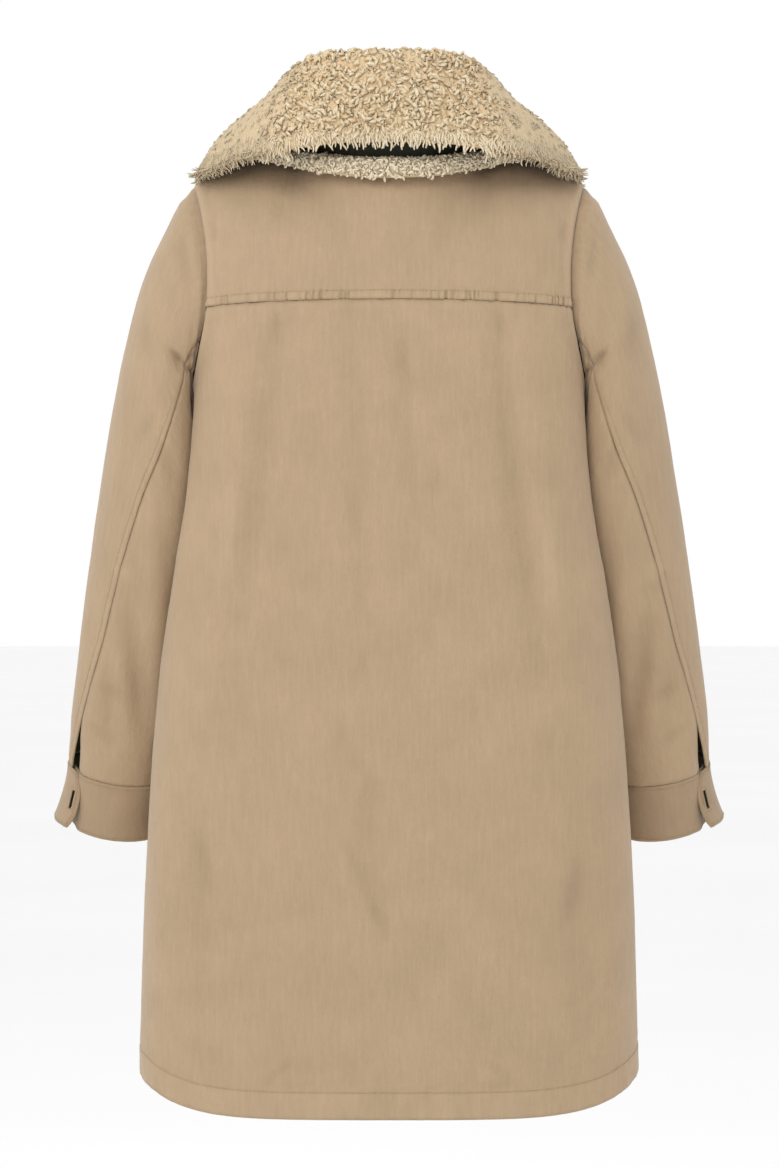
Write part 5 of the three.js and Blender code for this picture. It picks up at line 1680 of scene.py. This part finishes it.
def closed_spline(corners, per):
    """Points of smooth closed curves through corners, with a number of points for each stretch."""
    count = corners.shape[1]
    points, shares = [], []
    for i in range(count):
        p0, p1, p2, p3 = [corners[:, (i + k) % count] for k in (-1, 0, 1, 2)]
        for t in np.arange(per[i]) / per[i]:
            points.append(0.5 * (
                2 * p1 + (p2 - p0) * t + (2 * p0 - 5 * p1 + 4 * p2 - p3) * t * t
                + (3 * p1 - p0 - 3 * p2 + p3) * t ** 3
            ))
            shares.append(i + t)
    return np.stack(points, 1), np.array(shares)


def softness(turn):
    """How smooth and short the pile is: curly at the back, brushed at the sides."""
    return ease((turn - 42) / 20) * (1 - 0.45 * ease((turn - 112) / 30))


def collar_grid(pile):
    """Turns and outline shares of the collar's ground, its points, and their ways out and down."""
    signed = np.linspace(-COLLAR_END, COLLAR_END, 233)
    corners = collar_outline(np.abs(signed), pile)
    spans = np.linalg.norm(np.roll(corners, -1, axis=1) - corners, axis=-1).mean(0)
    per = np.maximum(2, np.round(spans / 4.2)).astype(int)
    flat, shares = closed_spline(corners, per)
    at = spot(signed[:, None], flat[..., 0], flat[..., 1])
    down = unit(np.roll(at, -1, axis=1) - np.roll(at, 1, axis=1))
    out = unit(np.cross(unit(np.gradient(at, axis=0)), down))
    middle = at.mean(axis=1, keepdims=True)
    if ((at - middle) * out).sum() < 0:
        out = -out
    return signed, shares, at, out, down


def collar_ground(grid, finishes):
    signed, shares, at, out, _ = grid
    m, n = at.shape[:2]
    turn = np.broadcast_to(signed[:, None], (m, n))
    wool = (shares >= FUR_START) & (shares < FUR_END + 0.6)
    u = np.broadcast_to(np.cumsum(np.ones(n)) * 4.0, (m, n))
    lump = 0.8 * uneven(turn * 2.2, u, 131, 6, 6) + 0.6 * uneven(turn * 2.2, u, 132, 12, 12)
    pushed = at + out * np.where(wool[None], lump * (1 - 0.7 * softness(np.abs(turn))), 0)[..., None]
    points = np.concatenate([pushed.reshape(-1, 3), pushed[0].mean(0)[None], pushed[-1].mean(0)[None]])
    faces = turned_out(points, capped_faces(m, n))
    woolly_side = (np.abs(signed[:-1, None]) > SIDE_TURN) & (shares < FUR_END + 3)
    kinds = np.concatenate([~(wool | woolly_side).ravel(), np.zeros(2 * n)])
    soft = np.concatenate([softness(np.abs(turn)).ravel(), [1, 1]])
    uv = np.stack([turn * 2.4, u], -1).reshape(-1, 2)
    uv = np.concatenate([uv, [(0, 0), (0, 0)]])
    return mesh_of("collar_ground", points, faces, finishes, kinds, uv, values={"soft": soft})


def seeded_places(grid, share_from, share_to, spacing, rng):
    """Evenly spread, jittered places on the collar between two shares of its outline.

    Each has its point, its ways out and down, and its turn from the back middle.
    """
    signed, shares, at, out, down = grid
    chosen = np.flatnonzero((shares >= share_from) & (shares <= share_to))
    picked = []
    strip = at[:, chosen]
    lengths = np.linalg.norm(np.diff(strip, axis=1), axis=-1)
    total = lengths.sum(1).mean()
    rows = max(1, int(round(total / spacing)))
    for r in range(rows):
        j = (r + 0.5) / rows * (len(chosen) - 1)
        j0 = int(np.floor(j))
        line = strip[:, j0] * (1 - (j - j0)) + strip[:, min(j0 + 1, len(chosen) - 1)] * (j - j0)
        run = line_run(line)
        count = int(run[-1] / spacing)
        along = (np.arange(count) + 0.5 + 0.5 * (r % 2) + rng.uniform(-0.38, 0.38, count)) * spacing
        along = along[(along > 1) & (along < run[-1] - 1)]
        i = np.interp(along, run, np.arange(len(signed)))
        jitter = rng.uniform(-0.45, 0.45, len(i)) * spacing / lengths.mean()
        picked.append(np.stack([i, np.clip(j + jitter, 0, len(chosen) - 1.001)], 1))
    picked = np.concatenate(picked)
    i0, j0 = np.floor(picked).astype(int).T
    i0 = np.clip(i0, 0, len(signed) - 2)
    j0 = np.clip(j0, 0, len(chosen) - 2)
    fi, fj = picked[:, 0] - i0, picked[:, 1] - j0

    def blend(values):
        part = values[:, chosen]
        a = part[i0, j0] * (1 - fj)[:, None] + part[i0, j0 + 1] * fj[:, None]
        b = part[i0 + 1, j0] * (1 - fj)[:, None] + part[i0 + 1, j0 + 1] * fj[:, None]
        return a * (1 - fi)[:, None] + b * fi[:, None]

    turn = np.abs(np.interp(picked[:, 0], np.arange(len(signed)), signed))
    keep = turn < COLLAR_END
    return blend(at)[keep], unit(blend(out))[keep], unit(blend(down))[keep], turn[keep]


def swung(lie, up, angle):
    """Directions turned about the outward ones."""
    side = np.cross(up, lie)
    return lie * np.cos(angle)[:, None] + side * np.sin(angle)[:, None]


class PARKA_OT_collar(bpy.types.Operator):
    """Makes the shearling collar: its ground, its curls and the locks at its edge."""

    bl_idname = "parka.collar"
    bl_label = "Shearling collar"

    def execute(self, context):
        wool = context.scene.parka_shearling
        pile = wool.pile / MM
        grid = collar_grid(pile)
        rng = np.random.RandomState(7)
        ground = sewn(collar_ground(grid, [finish("skin"), finish("lining")]), "shearling", "collar")
        shapes = curl_shapes()
        for name, low, high, spacing in (
            ("collar_curls", 5.2, FUR_END - 0.15, wool.spacing / MM),
            ("collar_inner_curls", FUR_START, 5.2, wool.spacing / MM * 1.55),
        ):
            at, up, down, turn = seeded_places(grid, low, high, spacing, rng)
            soft = softness(turn)
            swing = rng.uniform(-np.pi, np.pi, len(at)) * (1 - 0.8 * soft)
            straight = rng.uniform(0, 1, len(at)) < soft * 0.9
            lock, curl = 4 + rng.randint(0, 2, len(at)), rng.randint(0, 4, len(at))
            size = (1 - 0.36 * soft) * (1 + 0.16 * (spacing > 6))
            made = scatter(
                name, at - up * (0.6 + 0.5 * soft)[:, None], unit(up + 0.1 * rng.normal(0, 1, up.shape)),
                swung(down, up, swing), shapes, (wool.curl, wool.curl, wool.curl * 0.9), finish("wool"),
                0.22, 5, size=size, values={"shade": rng.uniform(0, 1, len(at)), "soft": soft},
                kind=np.where(straight, lock, curl),
            )
            sewn(made, "shearling")
        locks = self.edge_locks(grid, rng, shapes, wool)
        sewn(locks, "shearling")
        drop_shapes(shapes)
        return {"FINISHED"}

    def edge_locks(self, grid, rng, shapes, wool):
        """Locks that hang past the fall's edge, and fill its underside over the shoulders."""
        parts, kept = [], []
        for low, high, spacing, least in (
            (FUR_END - 1.4, FUR_END - 0.5, 3.5, 0), (FUR_END - 0.9, FUR_END, 3.0, 0),
            (FUR_END, FUR_END + 2.2, 4.0, SIDE_TURN),
        ):
            part = seeded_places(grid, low, high, spacing, rng)
            keep = part[3] >= least
            parts.append([values[keep] for values in part])
            kept.append(np.full(keep.sum(), least > 0))
        at, up, down, turn = [np.concatenate(values) for values in zip(*parts)]
        below = np.concatenate(kept)[:, None]
        soft = softness(turn)
        over = down * 0.8 + np.array([0, 0, -0.75]) + up * 0.12
        fall = np.where(below, up * 0.8 + np.array([0, 0, -0.6]), over)
        size = (1 - 0.35 * soft) * rng.uniform(0.8, 1.15, len(at))
        up = np.where(below, unit(down + np.array([0, 0, 0.2])), up)
        lie = swung(unit(fall), unit(up), rng.normal(0, 0.3, len(at)))
        return scatter(
            "collar_locks", at - up * 0.5, unit(up), lie, shapes[4:],
            (wool.lock, wool.lock * 0.95, wool.lock * 0.8), finish("wool"), 0.15, 9, size=size,
            values={"shade": rng.uniform(0.5, 1, len(at)), "soft": soft * 0.7},
            kind=rng.randint(0, 2, len(at)),
        )


class PARKA_OT_stand(bpy.types.Operator):
    """Sews the dark band that the collar is sewn to."""

    bl_idname = "parka.stand"
    bl_label = "Collar stand"

    def execute(self, context):
        end = COLLAR_END * STAND["share"]
        signed = np.linspace(-end, end, 201)
        v = np.linspace(0, 1, 15)
        tt, vv = np.meshgrid(signed, v)
        turn = np.abs(tt)
        neck_r, neck_z = neckline(turn)
        top = fold_z(turn) - STAND["below_fold"]
        at = spot(tt, neck_r + STAND["lean"] * vv, (neck_z + 3) * (1 - vv) + top * vv)
        out = spot(tt, 1.0, 0.0) - spot(tt, 0.0, 0.0)
        fine = 0.2 * uneven(tt * 1.6, vv * 60, 141, 16, 14)
        uv = np.stack([tt * 1.6, at[..., 2]], -1)
        made, _ = cloth_piece(
            "collar_stand_cloth", at, out, uv, 0 * fine, fine, STAND["cloth"], lined("lining"),
        )
        sewn(made, "dark_cloth", "collar_stand")
        return {"FINISHED"}


def yoke_height(x, y):
    """Heights of the yoke's outer face above points of the plan."""

    def t_at(u):
        low, high = np.zeros(u.shape), np.ones(u.shape)
        for _ in range(22):
            mid = (low + high) / 2
            over = upper_back(u, mid)[..., 1] > y
            low, high = np.where(over, mid, low), np.where(over, high, mid)
        return low

    left, right = -np.ones(np.shape(x)), np.ones(np.shape(x))
    for _ in range(22):
        mid = (left + right) / 2
        over = upper_back(mid, t_at(mid))[..., 0] > x
        left, right = np.where(over, mid, left), np.where(over, right, mid)
    return upper_back(left, t_at(left))[..., 2]


class PARKA_OT_neck_edge(bpy.types.Operator):
    """Makes the narrow shearling edge round the back of the neck."""

    bl_idname = "parka.neck_edge"
    bl_label = "Neck edge"

    def execute(self, context):
        end = ROLL[-1, 0]
        signed = np.linspace(-end, end, 121)
        turn = np.abs(signed)
        middle = spot(signed, neckline(turn)[0] + roll_out(turn), np.zeros(len(signed)))
        across = unit(np.cross(np.gradient(middle, axis=0), (0, 0, 1)))
        sides = 24
        a = np.linspace(0, 2 * np.pi, sides, endpoint=False)
        wide, tall = roll_wide(turn), roll_tall(turn)
        ring = middle[:, None] + across[:, None] * (np.cos(a)[None] * wide[:, None])[..., None]
        ring[..., 2] = np.sin(a)[None] * tall[:, None]
        needs = yoke_height(ring[..., 0], ring[..., 1]) + ROLL_CLEARANCE - ring[..., 2]
        rise = np.maximum(neckline(turn)[1] + ROLL_RISE, needs.max(1))
        ring[..., 2] += rise[:, None]
        centre = ring.mean(axis=1, keepdims=True)
        out = unit(ring - centre)
        inner, round_count = ROLL_PILE["depth"], ROLL_PILE["round"]
        rng = np.random.RandomState(17)
        lump = 0.5 * uneven(signed[:, None] * 2, a[None] * 10, 151, 7, 7)
        ground = ring - out * (inner - lump)[..., None]
        m = len(signed)
        points = np.concatenate([ground.reshape(-1, 3), ground[0].mean(0)[None], ground[-1].mean(0)[None]])
        made = mesh_of(
            "neck_edge_ground", points, turned_out(points, capped_faces(m, sides)), [finish("skin")],
            values={"soft": np.full(len(points), 0.8)},
        )
        sewn(made, "shearling_edge", "neck_roll")
        run = line_run(middle)
        count = int(run[-1] / ROLL_PILE["step"])
        steps = np.interp((np.arange(count) + 0.5) * run[-1] / count, run, np.arange(m))
        i = np.repeat(steps, round_count)
        i = np.clip(i + rng.uniform(-0.5, 0.5, len(i)), 0, m - 1.001)
        angle = np.tile(np.linspace(-0.28, 0.92, round_count) * np.pi, count)
        angle += rng.uniform(-0.15, 0.15, len(i))
        i0 = np.floor(i).astype(int)
        f = (i - i0)[:, None]
        pick = lambda values: values[i0] * (1 - f) + values[i0 + 1] * f
        w, h = pick(wide[:, None]), pick(tall[:, None])
        cosine, sine = np.cos(angle)[:, None], np.sin(angle)[:, None]
        mid = pick(np.concatenate([middle[:, :2], rise[:, None]], 1))
        side = unit(pick(across))
        at = mid + side * cosine * (w - inner - 0.4) + np.array([0, 0, 1]) * sine * (h - inner - 0.4)
        up = unit(side * cosine / w + np.array([0, 0, 1]) * sine / h)
        lie = unit(np.cross(up, unit(pick(np.gradient(middle, axis=0)))))
        shapes = curl_shapes()
        made = scatter(
            "neck_edge_pile", at, up, swung(lie, up, rng.uniform(-np.pi, np.pi, len(at))), shapes[:4],
            ROLL_CURL, finish("lit_short_wool"), 0.2, 3, size=0.6 + 0.4 * np.minimum(1, w[:, 0] / 9),
            values={"shade": rng.uniform(0, 1, len(at)), "soft": np.full(len(at), 0.1)},
            kind=rng.randint(0, 4, len(at)),
        )
        drop_shapes(shapes)
        sewn(made, "shearling_edge")
        return {"FINISHED"}


# Stage


class PARKA_OT_stage(bpy.types.Operator):
    """Sets the floor, the soft lights and the camera behind the coat."""

    bl_idname = "parka.stage"
    bl_label = "Stage"

    def execute(self, context):
        stage = context.scene.parka_stage
        f = Finish("pale_floor")
        where = f.node("ShaderNodeTexCoord").outputs["Object"]
        cloud = f.noise(where, 0.6, 2.0)
        base = f.mix(f.between(cloud, 0.3, 0.7), tint(stage.pale, 0.99), tint(stage.pale, 1.01))
        material = f.done(base=base, rough=0.9, level=0.1)
        z = -stage.floor_drop / MM
        corners = [(x * FLOOR_HALF, y * FLOOR_HALF, z) for x, y in ((-1, -1), (1, -1), (1, 1), (-1, 1))]
        floor = mesh_of("floor", np.array(corners), [(0, 1, 2, 3)], [material], smooth=False)
        world = bpy.data.worlds.new("studio")
        world.use_nodes = True
        self.surround(world.node_tree, stage.surround, stage.shade)
        context.scene.world = world
        context.scene.view_settings.view_transform = "Standard"
        for name, (place, size, power) in LIGHTS.items():
            light = bpy.data.lights.new(name, "AREA")
            light.shape, light.size, light.energy = "SQUARE", size, power
            made = bpy.data.objects.new(name, light)
            context.scene.collection.objects.link(made)
            aim = Vector(LIGHTS_AIM) - Vector(place)
            made.location = place
            made.rotation_euler = aim.to_track_quat("-Z", "Y").to_euler()
        camera = bpy.data.objects.new("camera", bpy.data.cameras.new("camera"))
        camera.data.lens = PLANE_DISTANCE / PICTURE_HEIGHT * SENSOR
        camera.data.sensor_width = SENSOR
        camera.data.clip_end = 200
        camera.location = (-0.0005, stage.camera_distance, stage.camera_height)
        camera.rotation_euler = (math.radians(90), 0, math.radians(180))
        context.scene.collection.objects.link(camera)
        context.scene.camera = camera
        return {"FINISHED"}

    def surround(self, tree, bright, dim):
        """Light from all round: bright from above and beyond the front, dimmer behind the back.

        The backdrop itself is seen plain white.
        """
        add = Nodes(tree)
        where = add.node("ShaderNodeTexCoord").outputs["Generated"]
        split = add.node("ShaderNodeSeparateXYZ", {0: where}).outputs
        lean = add.node("ShaderNodeMath", {0: split["Z"], 1: -0.8, 2: split["Y"]}, operation="MULTIPLY_ADD")
        level = add.node("ShaderNodeMapRange", {
            "Value": lean.outputs[0], "From Min": -0.5, "From Max": 0.7, "To Min": bright, "To Max": dim,
        }, interpolation_type="SMOOTHSTEP")
        seen = add.node("ShaderNodeLightPath").outputs["Is Camera Ray"]
        plain = add.node("ShaderNodeMix", {"Factor": seen, "A": level.outputs["Result"], "B": 1.0})
        tree.links.new(plain.outputs["Result"], tree.nodes["Background"].inputs["Strength"])
        tree.nodes["Background"].inputs["Color"].default_value = (1, 1, 1, 1)


GROUPS = {
    "parka_cloth": ParkaCloth, "parka_sewing": ParkaSewing, "parka_shearling": ParkaShearling,
    "parka_buttons": ParkaButtons, "parka_stage": ParkaStage,
}
OPERATORS = [
    PARKA_OT_stage, PARKA_OT_yoke, PARKA_OT_back, PARKA_OT_fronts, PARKA_OT_sleeves, PARKA_OT_cuffs,
    PARKA_OT_buttons, PARKA_OT_stand, PARKA_OT_neck_edge, PARKA_OT_collar,
]


class PARKA_PT_panel(bpy.types.Panel):
    """The parka's sizes, colours and pieces."""

    bl_idname = "PARKA_PT_panel"
    bl_label = "Parka"
    bl_space_type = "VIEW_3D"
    bl_region_type = "UI"
    bl_category = "Parka"

    def draw(self, context):
        for key in GROUPS:
            box = self.layout.box()
            group = getattr(context.scene, key)
            for name in group.bl_rna.properties.keys():
                if name not in ("rna_type", "name"):
                    box.prop(group, name)
        for operator in OPERATORS:
            self.layout.operator(operator.bl_idname)


def register():
    for each in (*GROUPS.values(), *OPERATORS, PARKA_PT_panel):
        bpy.utils.register_class(each)
    for key, group in GROUPS.items():
        setattr(bpy.types.Scene, key, bpy.props.PointerProperty(type=group))


def unregister():
    for key in GROUPS:
        delattr(bpy.types.Scene, key)
    for each in (PARKA_PT_panel, *reversed(OPERATORS), *GROUPS.values()):
        bpy.utils.unregister_class(each)


def main():
    register()
    for operator in OPERATORS:
        group, name = operator.bl_idname.split(".")
        getattr(getattr(bpy.ops, group), name)()


if __name__ == "__main__":
    main()
